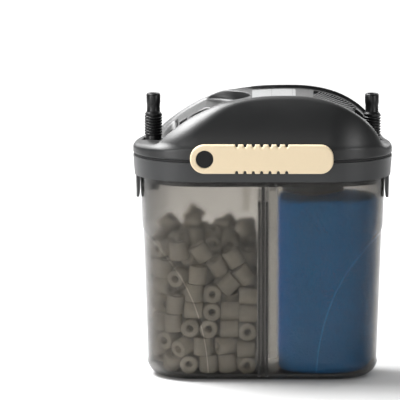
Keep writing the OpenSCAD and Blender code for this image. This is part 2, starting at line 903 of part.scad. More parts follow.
module stator_core() {
    color([0.45, 0.46, 0.47]) translate([0, 0, core_z]) difference() {
        union() {
            translate([core_x0, -core_half, 0]) cube([leg_w, 2 * core_half, stack_t]);
            for (side = [-1, 1])
                translate([core_x0, side * (core_half - leg_w / 2) - leg_w / 2, 0])
                    cube([core_x1 - core_x0, leg_w, stack_t]);
            translate([pole_x, -core_half, 0]) cube([core_x1 - pole_x, 2 * core_half, stack_t]);
        }
        translate([pump_x, 0, -over]) cylinder(h = stack_t + 2 * over, r = pole_r);
        translate([pole_x - over, -pole_slot / 2, -over])
            cube([core_x1 - pole_x + 2 * over, pole_slot, stack_t + 2 * over]);
    }
}

// A block round one leg of the core, with the leg's way through it
module round_leg(x, l, t) {
    for (side = [-1, 1])
        translate([x, side * (core_half - leg_w / 2), core_z + stack_t / 2])
        rotate([0, 90, 0]) difference() {
            linear_extrude(l) square([stack_t + 2 * t, leg_w + 2 * t], center = true);
            translate([0, 0, -over]) linear_extrude(l + 2 * over) children();
        }
}

module coil_bobbins() {
    way = [stack_t + 2 * slip, leg_w + 2 * slip];
    full = bobbin_t + winding_t;
    color([0.82, 0.8, 0.74]) {
        round_leg(bobbin_x0, bobbin_l, bobbin_t) square(way, center = true);
        for (x = [bobbin_x0, bobbin_x0 + bobbin_l - bobbin_t])
            round_leg(x, bobbin_t, full) square(way, center = true);
    }
}

module stator_coils() {
    inner = bobbin_t + slip;
    short = 0.4;
    color([0.62, 0.33, 0.16])
        round_leg(bobbin_x0 + inner, bobbin_l - 2 * inner, bobbin_t + winding_t - short)
            square([stack_t + 2 * inner, leg_w + 2 * inner], center = true);
}

module upper_bush() {
    low = deck_top + well_h - well_wall - bush_h - slip;
    color([0.3, 0.3, 0.31]) translate([pump_x, 0, low]) difference() {
        cylinder(h = bush_h, d = well_d - 2 * slip);
        translate([0, 0, -over]) cylinder(h = bush_h + 2 * over, d = shaft_d + 2 * hair);
    }
}

module lower_bush() {
    h = 2.4;
    floor = 0.6;
    color([0.3, 0.3, 0.31]) translate([pump_x, 0, chamber_z + 0.8 + hair]) difference() {
        cylinder(h = h, r = bush_r);
        translate([0, 0, floor]) cylinder(h = h, d = shaft_d + 2 * hair);
    }
}

module rotor_shaft() {
    low = chamber_z + 1.5;
    top = deck_top + well_h - well_wall - 0.3;
    color([0.9, 0.9, 0.88]) translate([pump_x, 0, low]) cylinder(h = top - low, d = shaft_d);
}

module rotor_magnet() {
    color([0.25, 0.25, 0.27]) translate([pump_x, 0, magnet_z]) difference() {
        cylinder(h = magnet_top - magnet_z, d = well_d - 2 * magnet_gap);
        translate([0, 0, -over]) cylinder(h = big, r = shaft_d / 2 + turn_gap);
    }
}

module impeller() {
    plate_t = 1.2;
    tip = impeller_d / 2 - 0.3;
    color([0.75, 0.75, 0.72]) translate([pump_x, 0, 0]) difference() {
        union() {
            translate([0, 0, impeller_z]) cylinder(h = magnet_z - hair - impeller_z, r = hub_r);
            translate([0, 0, impeller_top - plate_t]) cylinder(h = plate_t, d = impeller_d);
            for (i = [0 : blade_n - 1]) rotate([0, 0, i * 360 / blade_n])
                translate([hub_r - over, -blade_t / 2, impeller_z])
                    cube([tip - hub_r + over, blade_t, impeller_top - impeller_z - plate_t / 2]);
        }
        translate([0, 0, impeller_z - over]) cylinder(h = big, r = shaft_d / 2 + turn_gap);
    }
}

// ---- Levers ----

// Drawn at the front, with X and Z measured from the pivot
module lever_outline() {
    half = lever_w / 2;
    far = lever_l - pivot_in;
    corner = half - 1.2;
    near = half - pivot_in;
    difference() {
        union() {
            translate([near, 0]) circle(half);
            translate([near, -half]) square([far - corner - near, lever_w]);
            translate([far - corner - over, -half + corner]) square([corner + over, lever_w - 2 * corner]);
            for (side = [-1, 1]) translate([far - corner, side * (half - corner)]) circle(corner);
        }
        for (i = [0 : notch_n - 1], side = [-1, 1])
            translate([lever_l / 2 - pivot_in + (i - (notch_n - 1) / 2) * notch_pitch, side * half]) {
                translate([-notch_w / 2, -notch_deep + notch_w / 2])
                    square([notch_w, 2 * notch_deep - notch_w]);
                translate([0, -side * (notch_deep - notch_w / 2)]) circle(d = notch_w);
            }
    }
}

module lever() {
    color([0.9, 0.83, 0.7]) difference() {
        translate([-pivot_x, -lever_back, pivot_z]) rotate([90, 0, 0])
            linear_extrude(lever_t) lever_outline();
        across(-pivot_x, pivot_z, pin_face - pin_head_t - hair, lever_face + over, pin_head_d / 2 + hair);
        across(-pivot_x, pivot_z, lever_back - over, lever_face, pin_d / 2 + hair);
    }
}

module pivot_pin() {
    color([0.08, 0.08, 0.085]) {
        across(-pivot_x, pivot_z, pin_face - pin_head_t, pin_face, pin_head_d / 2);
        across(-pivot_x, pivot_z, cam_y1 + slip, pin_face - over, pin_d / 2);
        across(-pivot_x, pivot_z, cam_y0, cam_y1 + over, pin_end_r);
    }
}

module cam() {
    reach = cam_reach - cam_half_w;
    color([0.6, 0.6, 0.62]) difference() {
        union() {
            for (side = [-1, 1]) across(-pivot_x + side * reach, pivot_z, cam_y0, cam_y1, cam_half_w);
            translate([-pivot_x - reach, -cam_y1, pivot_z - cam_half_w])
                cube([2 * reach, cam_y1 - cam_y0, 2 * cam_half_w]);
        }
        across(-pivot_x, pivot_z, cam_y0 - over, cam_y1 + over, pin_end_r + hair);
    }
}

module front_lever() { on_side(-1) lever(); }
module front_pivot_pin() { on_side(-1) pivot_pin(); }
module front_cam() { on_side(-1) cam(); }
module rear_lever() { on_side(1) lever(); }
module rear_pivot_pin() { on_side(1) pivot_pin(); }
module rear_cam() { on_side(1) cam(); }

container();
partition();
ceramic_rings();
sponge_block();
floss_pad();
head_base();
main_seal();
lock_band();
cover_gasket();
head_cover();
rating_label();
cable_grommet();
cover_screws();
inlet_nozzle();
outlet_nozzle();
nozzle_seals();
inlet_spout();
pump_chamber();
outlet_duct();
intake_strainer();
stator_core();
coil_bobbins();
stator_coils();
upper_bush();
lower_bush();
rotor_shaft();
rotor_magnet();
impeller();
front_lever();
front_pivot_pin();
front_cam();
rear_lever();
rear_pivot_pin();
rear_cam();
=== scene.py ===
import math

import bmesh
import bpy
import numpy as np
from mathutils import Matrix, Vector


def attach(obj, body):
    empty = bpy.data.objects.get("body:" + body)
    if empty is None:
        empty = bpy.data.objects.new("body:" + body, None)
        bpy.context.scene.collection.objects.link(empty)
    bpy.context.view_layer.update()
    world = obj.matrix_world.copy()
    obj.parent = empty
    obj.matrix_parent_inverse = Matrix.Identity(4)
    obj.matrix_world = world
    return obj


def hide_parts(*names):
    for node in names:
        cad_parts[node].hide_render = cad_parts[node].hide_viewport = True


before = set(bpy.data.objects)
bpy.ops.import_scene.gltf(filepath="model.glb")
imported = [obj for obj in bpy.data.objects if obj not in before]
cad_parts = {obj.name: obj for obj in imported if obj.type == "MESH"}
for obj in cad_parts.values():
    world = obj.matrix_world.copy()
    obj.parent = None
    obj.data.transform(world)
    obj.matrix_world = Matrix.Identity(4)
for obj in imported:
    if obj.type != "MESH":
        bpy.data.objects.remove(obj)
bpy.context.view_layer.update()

MM = 0.001

# Sizes of the filter in millimetres, as the part's source has them
SPAN = 46.5  # from the middle to the centre of each round end
PIVOT_X, PIVOT_Z = 41, 162.7  # lever pivots
FOOT_Z, LEDGE_Z, APEX_Z = 161, 168.8, 205.2  # cover: its foot, ledge and top
APEX_X, NOSE_X = 22, 86  # cover: where the deck is highest, and where its nose ends
BAND_R, CHEEK_R = 46, 72.6  # cover: round its plan, and up its cheeks
NOZZLE_X = 78
LIP_X = -61  # left end of the cover's hollow
TRAY = 2.2  # how far the deck is sunk behind its rim
RIM_Z, COLLAR_Z = 147, 109.5
WALL, FLOOR_T, EDGE_R = 2.4, 3, 12
FOOT_R, RIM_R = 36.2, 41  # tub: half its outer depth at the foot and at the rim


# ---- Shapes from distance fields ----

def merged(a, b, soft):
    """Union of two fields with a fillet."""
    blend = np.maximum(soft - np.abs(a - b), 0) / soft
    return np.minimum(a, b) - blend * blend * soft / 4


def common(a, b, soft):
    """What two fields share, with a rounded edge."""
    return -merged(-a, -b, soft)


def without(a, b, soft):
    """What is left of one field when another is cut from it."""
    return common(a, -b, soft)


def out_of_plan(x, y):
    """Distance from the line that the round-ended plan grows from."""
    return np.hypot(np.maximum(np.abs(x) - SPAN, 0), y)


def block_field(x, y, z, low, high, bend):
    """Box between two corners, with round edges."""
    parts = [np.maximum(lo + bend - v, v - hi + bend) for v, lo, hi in zip((x, y, z), low, high)]
    outside = np.sqrt(sum(np.maximum(p, 0) ** 2 for p in parts))
    return outside + np.minimum(np.maximum(np.maximum(parts[0], parts[1]), parts[2]), 0) - bend


def pulled(field, points, pitch, passes=3, probe=0.05, least_slope=0.2, longest=0.5):
    """Moves points along the field's slope onto its zero level."""
    step = pitch * probe
    for _ in range(passes):
        here = field(*points.T)
        slope = np.stack([
            (field(*(points + step * unit).T) - field(*(points - step * unit).T)) / (2 * step)
            for unit in np.eye(3)
        ], 1)
        move = -here[:, None] * slope / np.maximum((slope ** 2).sum(1), least_slope)[:, None]
        far = np.linalg.norm(move, axis=1)[:, None]
        points = points + move * np.minimum(1, longest * pitch / np.maximum(far, 1e-9))
    return points


def net(field, low, high, pitch):
    """Closed quad mesh on a field's zero level: one vertex in each cell that the surface crosses."""
    axes = [np.arange(lo, hi + pitch, pitch, dtype=np.float32) for lo, hi in zip(low, high)]
    values = field(*np.meshgrid(*axes, indexing="ij")).astype(np.float32)
    inside = values < 0
    size = np.array(values.shape) - 1
    total = np.zeros((*size, 3), np.float32)
    count = np.zeros(size, np.float32)
    for axis in range(3):
        side = [a for a in range(3) if a != axis]
        for offset in ((0, 0), (0, 1), (1, 0), (1, 1)):
            start = [0, 0, 0]
            start[side[0]], start[side[1]] = offset
            end = list(start)
            end[axis] = 1
            near = tuple(slice(s, s + n) for s, n in zip(start, size))
            far = tuple(slice(s, s + n) for s, n in zip(end, size))
            crossed = inside[near] != inside[far]
            fall = np.where(crossed, values[near] - values[far], 1)
            part = np.where(crossed, values[near] / fall, 0)
            count += crossed
            for a in range(3):
                total[..., a] += crossed * (part if a == axis else start[a])
    cells = np.argwhere(count > 0)
    at = tuple(cells.T)
    number = np.full(size, -1, np.int64)
    number[at] = np.arange(len(cells))
    points = (cells + total[at] / count[at][:, None]) * pitch + np.array(low)
    faces = []
    for axis in range(3):
        b, c = (axis + 1) % 3, (axis + 2) % 3
        near, far = [slice(None)] * 3, [slice(None)] * 3
        near[axis], far[axis] = slice(None, -1), slice(1, None)
        crossed = np.argwhere(inside[tuple(near)] != inside[tuple(far)])
        beside = crossed[:, [b, c]]
        crossed = crossed[((beside > 0) & (beside < size[[b, c]])).all(1)]
        corners = []
        for back_b, back_c in ((1, 1), (0, 1), (0, 0), (1, 0)):
            cell = crossed.copy()
            cell[:, b] -= back_b
            cell[:, c] -= back_c
            corners.append(number[tuple(cell.T)])
        quads = np.stack(corners, 1)
        from_inside = inside[tuple(crossed.T)]
        faces.append(np.where(from_inside[:, None], quads, quads[:, ::-1]))
    faces = np.concatenate(faces)
    return pulled(field, points, pitch), faces[(faces >= 0).all(1)]


# ---- Pieces ----

def piece(name, points, faces, smooth=True):
    """Mesh object with its place, given in millimetres, in its mesh."""
    mesh = bpy.data.meshes.new(name)
    mesh.from_pydata((np.asarray(points) * MM).tolist(), [], [list(map(int, f)) for f in faces])
    mesh.polygons.foreach_set("use_smooth", [smooth] * len(mesh.polygons))
    mesh.update()
    made = bpy.data.objects.new(name, mesh)
    bpy.context.scene.collection.objects.link(made)
    return made


def clean(target, merge=0.0, bevel=0.0):
    """Merges or bevels where asked, in metres, and turns all faces outwards."""
    work = bmesh.new()
    work.from_mesh(target.data)
    if merge:
        bmesh.ops.remove_doubles(work, verts=work.verts, dist=merge)
    if bevel:
        bmesh.ops.bevel(work, geom=work.edges[:], offset=bevel, segments=2, affect="EDGES")
    bmesh.ops.recalc_face_normals(work, faces=work.faces)
    work.to_mesh(target.data)
    work.free()


def ring_quads(rings, around, closed):
    """Quads between rings of points that lie one after another."""
    faces = []
    for i in range(rings if closed else rings - 1):
        for j in range(around):
            k, m = (j + 1) % around, (i + 1) % rings
            faces.append((i * around + j, i * around + k, m * around + k, m * around + j))
    return faces


def paint(target, material):
    target.data.materials.clear()
    target.data.materials.append(material)


def stand_in(target, node, body, material=None):
    """Lets a piece ride on a body in a CAD node's place and finish."""
    if material:
        paint(target, material)
    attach(target, body)
    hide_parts(node)


# ---- Nodes ----

FLOAT, COLOUR, VECTOR = "NodeSocketFloat", "NodeSocketColor", "NodeSocketVector"
WHOLE, SHAPE, FINISH = "NodeSocketInt", "NodeSocketGeometry", "NodeSocketMaterial"


def place(tree, kind, links=(), **settings):
    """Adds a node, sets its properties, and links or sets its inputs."""
    node = tree.nodes.new(kind)
    for key, value in settings.items():
        setattr(node, key, value)
    for socket, source in dict(links).items():
        if isinstance(source, bpy.types.NodeSocket):
            tree.links.new(source, node.inputs[socket])
        else:
            node.inputs[socket].default_value = source
    return node


def calc(tree, kind, first, second=0.0, clamp=False):
    return place(tree, "ShaderNodeMath", {0: first, 1: second}, operation=kind, use_clamp=clamp).outputs[0]


def vector(tree, **parts):
    return place(tree, "ShaderNodeCombineXYZ", {"XYZ".index(k): v for k, v in parts.items()}).outputs[0]


def group_tree(name, kind, inputs, outputs):
    """Node group with named ends, its given and wanted sockets, and the inputs' identifiers."""
    tree = bpy.data.node_groups.new(name, kind)
    keys = {}
    for label, socket_type, value in inputs:
        socket = tree.interface.new_socket(label, in_out="INPUT", socket_type=socket_type)
        if value is not None:
            socket.default_value = value
        keys[label] = socket.identifier
    for label, socket_type in outputs:
        tree.interface.new_socket(label, in_out="OUTPUT", socket_type=socket_type)
    return tree, tree.nodes.new("NodeGroupInput").outputs, tree.nodes.new("NodeGroupOutput").inputs, keys


def geometry_tree(name, sizes):
    """Geometry node tree with named sizes and a finish."""
    inputs = [("Geometry", SHAPE, None), *sizes, ("Material", FINISH, None)]
    return group_tree(name, "GeometryNodeTree", inputs, [("Geometry", SHAPE)])


def finish_tree(tree, given, wanted, geometry):
    real = place(tree, "GeometryNodeRealizeInstances", {"Geometry": geometry})
    shaded = place(tree, "GeometryNodeSetMaterial", {"Geometry": real.outputs[0], "Material": given["Material"]})
    tree.links.new(shaded.outputs[0], wanted[0])


def grow(target, tree, values):
    """Runs a tree on an object, with values by socket identifier, and keeps the result as a plain mesh."""
    step = target.modifiers.new(tree.name, "NODES")
    step.node_group = tree
    for key, value in values.items():
        step[key] = value
    seen = target.evaluated_get(bpy.context.evaluated_depsgraph_get())
    mesh = bpy.data.meshes.new_from_object(seen)
    mesh.name = target.name
    target.modifiers.remove(step)
    target.data = mesh


# ---- Finishes ----

def tone(red, green, blue):
    """Linear colour from 0 to 255 screen values."""
    scaled = [v / 255 for v in (red, green, blue)]
    return (*[v / 12.92 if v <= 0.04045 else ((v + 0.055) / 1.055) ** 2.4 for v in scaled], 1)


def noise(tree, where, scale, detail=2.0, rough=0.5):
    values = {"Vector": where, "Scale": scale, "Detail": detail, "Roughness": rough}
    return place(tree, "ShaderNodeTexNoise", values).outputs[0]


def cells(tree, where, scale, feature="F1"):
    return place(tree, "ShaderNodeTexVoronoi", {"Vector": where, "Scale": scale}, feature=feature).outputs[0]


def stretched(tree, where, **values):
    return place(tree, "ShaderNodeMapping", {"Vector": where, **values}).outputs[0]


def mixed(tree, share, first, second):
    return place(tree, "ShaderNodeMix", {0: share, 6: first, 7: second}, data_type="RGBA").outputs[2]


def bumped(tree, height, strength, distance, **normal):
    """Normal of a relief that is this many metres high."""
    values = {"Height": height, "Strength": strength, "Distance": distance, **normal}
    return place(tree, "ShaderNodeBump", values).outputs[0]


def surface_normal(tree):
    return place(tree, "ShaderNodeNewGeometry").outputs["Normal"]


def make_moulding_group():
    """Spark-eroded mould grain: a colour with faint flow clouds, its roughness and the grain's height."""
    group, given, wanted, _ = group_tree("mould_grain", "ShaderNodeTree", [
        ("Where", VECTOR, (0, 0, 0)), ("Colour", COLOUR, (0.02, 0.02, 0.02, 1)), ("Cloud", FLOAT, 0.25),
        ("Grain", FLOAT, 1500), ("Gloss", FLOAT, 0.4), ("Spread", FLOAT, 0.12),
    ], [("Colour", COLOUR), ("Roughness", FLOAT), ("Height", FLOAT)])
    clouds = noise(group, given["Where"], 38, 4, 0.6)
    fine = noise(group, given["Where"], given["Grain"], 2, 0.7)
    pits = cells(group, given["Where"], given["Grain"], "SMOOTH_F1")
    changes = []
    for amount in (given["Cloud"], given["Spread"]):
        swings = [calc(group, "MULTIPLY", calc(group, "SUBTRACT", part, 0.5), amount) for part in (clouds, fine)]
        changes.append(calc(group, "ADD", *swings))
    bright = calc(group, "ADD", changes[0], 1)
    scaled = place(group, "ShaderNodeVectorMath", {0: given["Colour"], "Scale": bright}, operation="SCALE")
    height = calc(group, "ADD", fine, calc(group, "MULTIPLY", pits, 0.6))
    group.links.new(scaled.outputs[0], wanted["Colour"])
    group.links.new(calc(group, "ADD", changes[1], given["Gloss"], True), wanted["Roughness"])
    group.links.new(height, wanted["Height"])
    return group


def make_wear_group():
    """Mask of the edges that hands and shelves rub, broken up so that it isn't a line."""
    group, given, wanted, _ = group_tree("edge_wear", "ShaderNodeTree", [
        ("Where", VECTOR, (0, 0, 0)), ("Width", FLOAT, 0.0009), ("Amount", FLOAT, 0.6),
    ], [("Mask", FLOAT)])
    bevel = place(group, "ShaderNodeBevel", {"Radius": given["Width"]}, samples=4)
    turned = place(group, "ShaderNodeVectorMath", {0: bevel.outputs[0], 1: surface_normal(group)},
                   operation="DOT_PRODUCT")
    edge = calc(group, "MULTIPLY", calc(group, "SUBTRACT", 1, turned.outputs["Value"]), 6, True)
    broken = calc(group, "SUBTRACT", noise(group, given["Where"], 420, 4, 0.7), 0.35)
    worn = calc(group, "MULTIPLY", edge, calc(group, "MULTIPLY", broken, 2.2, True), True)
    group.links.new(calc(group, "MULTIPLY", worn, given["Amount"], True), wanted["Mask"])
    return group


def make_dust_group():
    """Fine dust that settles on what faces up."""
    group, given, wanted, _ = group_tree("settled_dust", "ShaderNodeTree", [
        ("Where", VECTOR, (0, 0, 0)), ("Amount", FLOAT, 0.2),
    ], [("Mask", FLOAT)])
    split = place(group, "ShaderNodeSeparateXYZ", {0: surface_normal(group)})
    up = calc(group, "POWER", calc(group, "MAXIMUM", split.outputs["Z"], 0), 3)
    cloud = noise(group, given["Where"], 90, 5, 0.65)
    film = calc(group, "MULTIPLY", calc(group, "MULTIPLY", up, cloud), given["Amount"], True)
    group.links.new(film, wanted["Mask"])
    return group


MOULDING, WEAR, DUST = make_moulding_group(), make_wear_group(), make_dust_group()


def use(tree, group, values):
    return place(tree, "ShaderNodeGroup", values, node_tree=group).outputs


def bare_material(name):
    material = bpy.data.materials.new(name)
    material.use_nodes = True
    tree = material.node_tree
    tree.nodes.clear()
    shader = tree.nodes.new("ShaderNodeBsdfPrincipled")
    tree.links.new(shader.outputs[0], tree.nodes.new("ShaderNodeOutputMaterial").inputs[0])
    where = tree.nodes.new("ShaderNodeTexCoord").outputs["Object"]
    return material, tree, shader.inputs, where


def coat(tree, shader, colour, rough, normal, **settings):
    """Links a shader's colour, roughness and normal, and sets its plain values."""
    for label, source in (("Base Color", colour), ("Roughness", rough), ("Normal", normal)):
        tree.links.new(source, shader[label])
    for label, value in settings.items():
        shader[label.replace("_", " ")].default_value = value


def near_matt(tree, clouds, least=0.88):
    return calc(tree, "ADD", calc(tree, "MULTIPLY", clouds, 0.1), least)


def moulded(name, colour, gloss, grain=1500, depth=0.00002, cloud=0.3, worn=None, dust=0.0, wear=0.5, level=0.5):
    """Moulded plastic with mould grain, rubbed edges and a little dust."""
    material, tree, shader, where = bare_material(name)
    base = use(tree, MOULDING, {
        "Where": where, "Colour": colour, "Cloud": cloud, "Grain": grain, "Gloss": gloss, "Spread": 0.12,
    })
    rub = use(tree, WEAR, {"Where": where, "Amount": wear})
    worn = worn or tuple(min(1, c * 1.9 + 0.02) for c in colour[:3]) + (1,)
    shown = mixed(tree, rub["Mask"], base["Colour"], worn)
    rough = calc(tree, "SUBTRACT", base["Roughness"], calc(tree, "MULTIPLY", rub["Mask"], 0.1), True)
    if dust:
        film = use(tree, DUST, {"Where": where, "Amount": dust})
        shown = mixed(tree, film["Mask"], shown, tone(150, 148, 142))
        rough = calc(tree, "ADD", rough, calc(tree, "MULTIPLY", film["Mask"], 0.4), True)
    coat(tree, shader, shown, rough, bumped(tree, base["Height"], 1, depth), Specular_IOR_Level=level)
    return material


def smoked_material():
    """Smoked, frosted wall of the tub, with a painted highlight along the crease round the arch in each end, and
    painted shade where the wall is seen edge-on.
    """
    material, tree, shader, where = bare_material("smoked_tub")
    base = use(tree, MOULDING, {
        "Where": where, "Colour": tone(188, 185, 180), "Cloud": 0.05, "Grain": 900, "Gloss": 0.2, "Spread": 0.04,
    })
    arch = place(tree, "ShaderNodeAttribute", attribute_name="arch").outputs["Fac"]
    step = calc(tree, "ADD", calc(tree, "MULTIPLY", arch, 0.6), 0.5, True)
    # Painted highlight: along the crease round each arch the wall is mixed towards a pale tone, as if the step
    # caught the light.
    away = calc(tree, "MULTIPLY", calc(tree, "ABSOLUTE", arch), 1.5)
    line = calc(tree, "MULTIPLY", calc(tree, "SUBTRACT", 1, away, True), 0.6)
    # Painted shade: the wall's colour turns darker grey where the wall is seen edge-on.
    edge_on_shade = place(tree, "ShaderNodeLayerWeight", {"Blend": 0.6}).outputs["Facing"]
    shown = mixed(tree, line, mixed(tree, edge_on_shade, base["Colour"], tone(84, 84, 84)), tone(252, 250, 244))
    normal = bumped(tree, base["Height"], 1, 0.000001, Normal=bumped(tree, step, 1, 0.0004))
    coat(tree, shader, shown, base["Roughness"], normal, Transmission_Weight=0.99, IOR=1.3,
         Specular_IOR_Level=0.2)
    return material


def ceramic_material():
    """Fired clay with open pores, which hold painted shade."""
    material, tree, shader, where = bare_material("fired_clay")
    clouds, pores = noise(tree, where, 160, 4, 0.6), cells(tree, where, 1400.0)
    # Painted shade: the pores are mixed towards a dark brown.
    pore_shade = calc(tree, "MULTIPLY", calc(tree, "LESS_THAN", pores, 0.22), 0.5)
    shown = mixed(tree, pore_shade, mixed(tree, clouds, tone(232, 226, 214), tone(198, 190, 176)), tone(120, 112, 100))
    height = calc(tree, "ADD", noise(tree, where, 900, 3, 0.7), pores)
    coat(tree, shader, shown, near_matt(tree, clouds, 0.85), bumped(tree, height, 0.8, 0.00015))
    return material


def foam_material():
    """Open-cell blue foam: cells as pits of two sizes, with painted shade in the pits."""
    material, tree, shader, where = bare_material("blue_foam")
    small, big = cells(tree, where, 700.0, "SMOOTH_F1"), cells(tree, where, 330.0)
    clouds = noise(tree, where, 60, 4, 0.6)
    # Painted shade: the middles of the small pits are mixed towards a dark blue.
    pit_shade = calc(tree, "MULTIPLY", calc(tree, "SUBTRACT", 0.5, small, True), 1.3, True)
    shown = mixed(tree, pit_shade, mixed(tree, clouds, tone(0, 146, 236), tone(8, 160, 244)), tone(0, 70, 156))
    height = calc(tree, "ADD", small, calc(tree, "MULTIPLY", big, 0.7))
    coat(tree, shader, shown, near_matt(tree, clouds), bumped(tree, height, 1, 0.00035), Specular_IOR_Level=0.1)
    return material


def floss_material():
    """Felted white fibres, with a faint painted glow of their own colour that stands in for light reaching them.
    """
    material, tree, shader, where = bare_material("white_floss")
    fibres = noise(tree, stretched(tree, where, Scale=(1.0, 0.35, 1.6), Rotation=(0.4, 0.2, 0.6)), 1600, 5, 0.75)
    others = noise(tree, stretched(tree, where, Scale=(1.4, 1.5, 0.4), Rotation=(-0.5, 0.3, -0.4)), 1500, 5, 0.75)
    tufts = noise(tree, where, 120, 4, 0.6)
    crossings = calc(tree, "MULTIPLY", fibres, others)
    shown = mixed(tree, crossings, mixed(tree, tufts, tone(255, 254, 250), tone(236, 233, 226)),
                  tone(196, 192, 184))
    height = calc(tree, "ADD", calc(tree, "ADD", fibres, others), calc(tree, "MULTIPLY", tufts, 2))
    # Painted glow: the fibres give off light in their own colour, though the sheet is no lamp.
    coat(tree, shader, shown, near_matt(tree, tufts), bumped(tree, height, 1, 0.0005), Sheen_Weight=0.4,
         Emission_Strength=0.3)
    tree.links.new(shown, shader["Emission Color"])
    return material


def label_material():
    """Plain white film with faint ruled lines, as on a blank form."""
    material, tree, shader, where = bare_material("label_film")
    split = place(tree, "ShaderNodeSeparateXYZ", {0: where}).outputs
    rules = calc(tree, "FRACT", calc(tree, "MULTIPLY", split["Y"], 1 / 0.0052))
    columns = calc(tree, "FRACT", calc(tree, "MULTIPLY", calc(tree, "ADD", split["X"], 0.0085), 1 / 0.0148))
    ruled = calc(tree, "MAXIMUM", calc(tree, "LESS_THAN", rules, 0.07), calc(tree, "LESS_THAN", columns, 0.025))
    film = noise(tree, where, 300, 3, 0.5)
    shown = mixed(tree, calc(tree, "MULTIPLY", ruled, 0.8),
                  mixed(tree, film, tone(128, 129, 129), tone(118, 119, 119)), tone(50, 50, 52))
    coat(tree, shader, shown, near_matt(tree, film, 0.3), bumped(tree, film, 0.4, 0.00002))
    return material


def metal(name, colour, gloss, brushed=(1, 1, 1), depth=0.00001):
    """Metal with its grain drawn out along one axis."""
    material, tree, shader, where = bare_material(name)
    base = use(tree, MOULDING, {
        "Where": stretched(tree, where, Scale=brushed), "Colour": colour, "Cloud": 0.3, "Grain": 2000,
        "Gloss": gloss, "Spread": 0.2,
    })
    coat(tree, shader, base["Colour"], base["Roughness"], bumped(tree, base["Height"], 1, depth), Metallic=1)
    return material


cover_plastic = moulded("cover_plastic", tone(13, 14, 15), 0.4, grain=1100, depth=0.000016, dust=0.05, wear=0.25)
band_plastic = moulded("band_plastic", tone(33, 34, 35), 0.38, grain=1100, depth=0.00002, wear=0.3)
dark_plastic = moulded("dark_plastic", tone(26, 27, 28), 0.45)
nozzle_plastic = moulded("nozzle_plastic", tone(11, 11, 12), 0.34, depth=0.00001, wear=0.4, level=0.3)
cream_plastic = moulded("cream_plastic", tone(212, 194, 163), 0.4, grain=900, depth=0.00001, cloud=0.05, wear=0.15,
                        worn=tone(224, 208, 180), dust=0.03)
pin_plastic = moulded("pin_plastic", tone(8, 8, 8), 0.45, level=0.25)
seal_rubber = moulded("seal_rubber", tone(20, 20, 21), 0.6, level=0.3)
bobbin_plastic = moulded("bobbin_plastic", tone(214, 210, 196), 0.45)
cam_plastic = moulded("cam_plastic", tone(168, 168, 172), 0.4)
impeller_plastic = moulded("impeller_plastic", tone(200, 200, 194), 0.42)
dense_smoke = moulded("dense_smoke", tone(40, 40, 42), 0.4, cloud=0.2)
alumina = moulded("alumina", tone(238, 236, 230), 0.2, cloud=0.05)
magnet_black = moulded("magnet_black", tone(48, 48, 52), 0.5)
steel = metal("steel", tone(190, 190, 192), 0.28)
laminations = metal("laminations", tone(120, 122, 126), 0.42, brushed=(1, 1, 14))
copper_wire = metal("copper_wire", tone(190, 104, 60), 0.3, brushed=(6, 1, 1), depth=0.0001)
smoked = smoked_material()
clay = ceramic_material()
foam = foam_material()
floss = floss_material()
film = label_material()


# ---- Cover ----

DECK_DROP, DECK_REACH, DECK_BEND = 36.4, 99.3, 2.8  # the deck's fall to its left end
LEDGE_EDGE = 4.5
HOLLOW_HALF, HOLLOW_TALL = 40, 32  # hollow between the cheeks: half its width, and its round floor
DISH_X, DISH_LONG, DISH_HALF = -44, 35, 31  # hand dish: start and length of its round end, half its width
HOLE_X, HOLE_Y, HOLE_R = -43, -9, 8  # finger hole
BORE_R, BOSS_R = 8, 7.8  # room for a nozzle, and for a lever's boss
VENT_X, VENT_HALF = (36.4, 66.5), 23.5  # pocket behind the vents


def deck_height(x):
    """Height of the deck along the length."""
    left = APEX_Z - DECK_DROP * (np.maximum(APEX_X - x, 0) / DECK_REACH) ** DECK_BEND
    ratio = np.clip((x - APEX_X) / (NOSE_X - APEX_X), 0, 1)
    return np.where(x < APEX_X, left, FOOT_Z + (APEX_Z - FOOT_Z) * np.sqrt(1 - ratio ** 2))


def deck_gap(x, z):
    """Signed distance to the deck's line in the side view."""
    fall = (np.maximum(APEX_X - x, 0) / DECK_REACH) ** (DECK_BEND - 1)
    slope = DECK_DROP * DECK_BEND / DECK_REACH * fall
    left = (z - deck_height(np.minimum(x, APEX_X))) / np.sqrt(1 + slope ** 2)
    nose, high = NOSE_X - APEX_X, APEX_Z - FOOT_Z
    reach = np.hypot((x - APEX_X) / nose, (z - FOOT_Z) / high)
    steep = np.hypot((x - APEX_X) / nose ** 2, (z - FOOT_Z) / high ** 2)
    return np.where(x < APEX_X, left, reach * (reach - 1) / np.maximum(steep, 1e-6))


def tray_depth(x):
    """How far the deck is sunk behind the raised rim."""
    return np.interp(x, [-42, -4], [-1.0, TRAY])


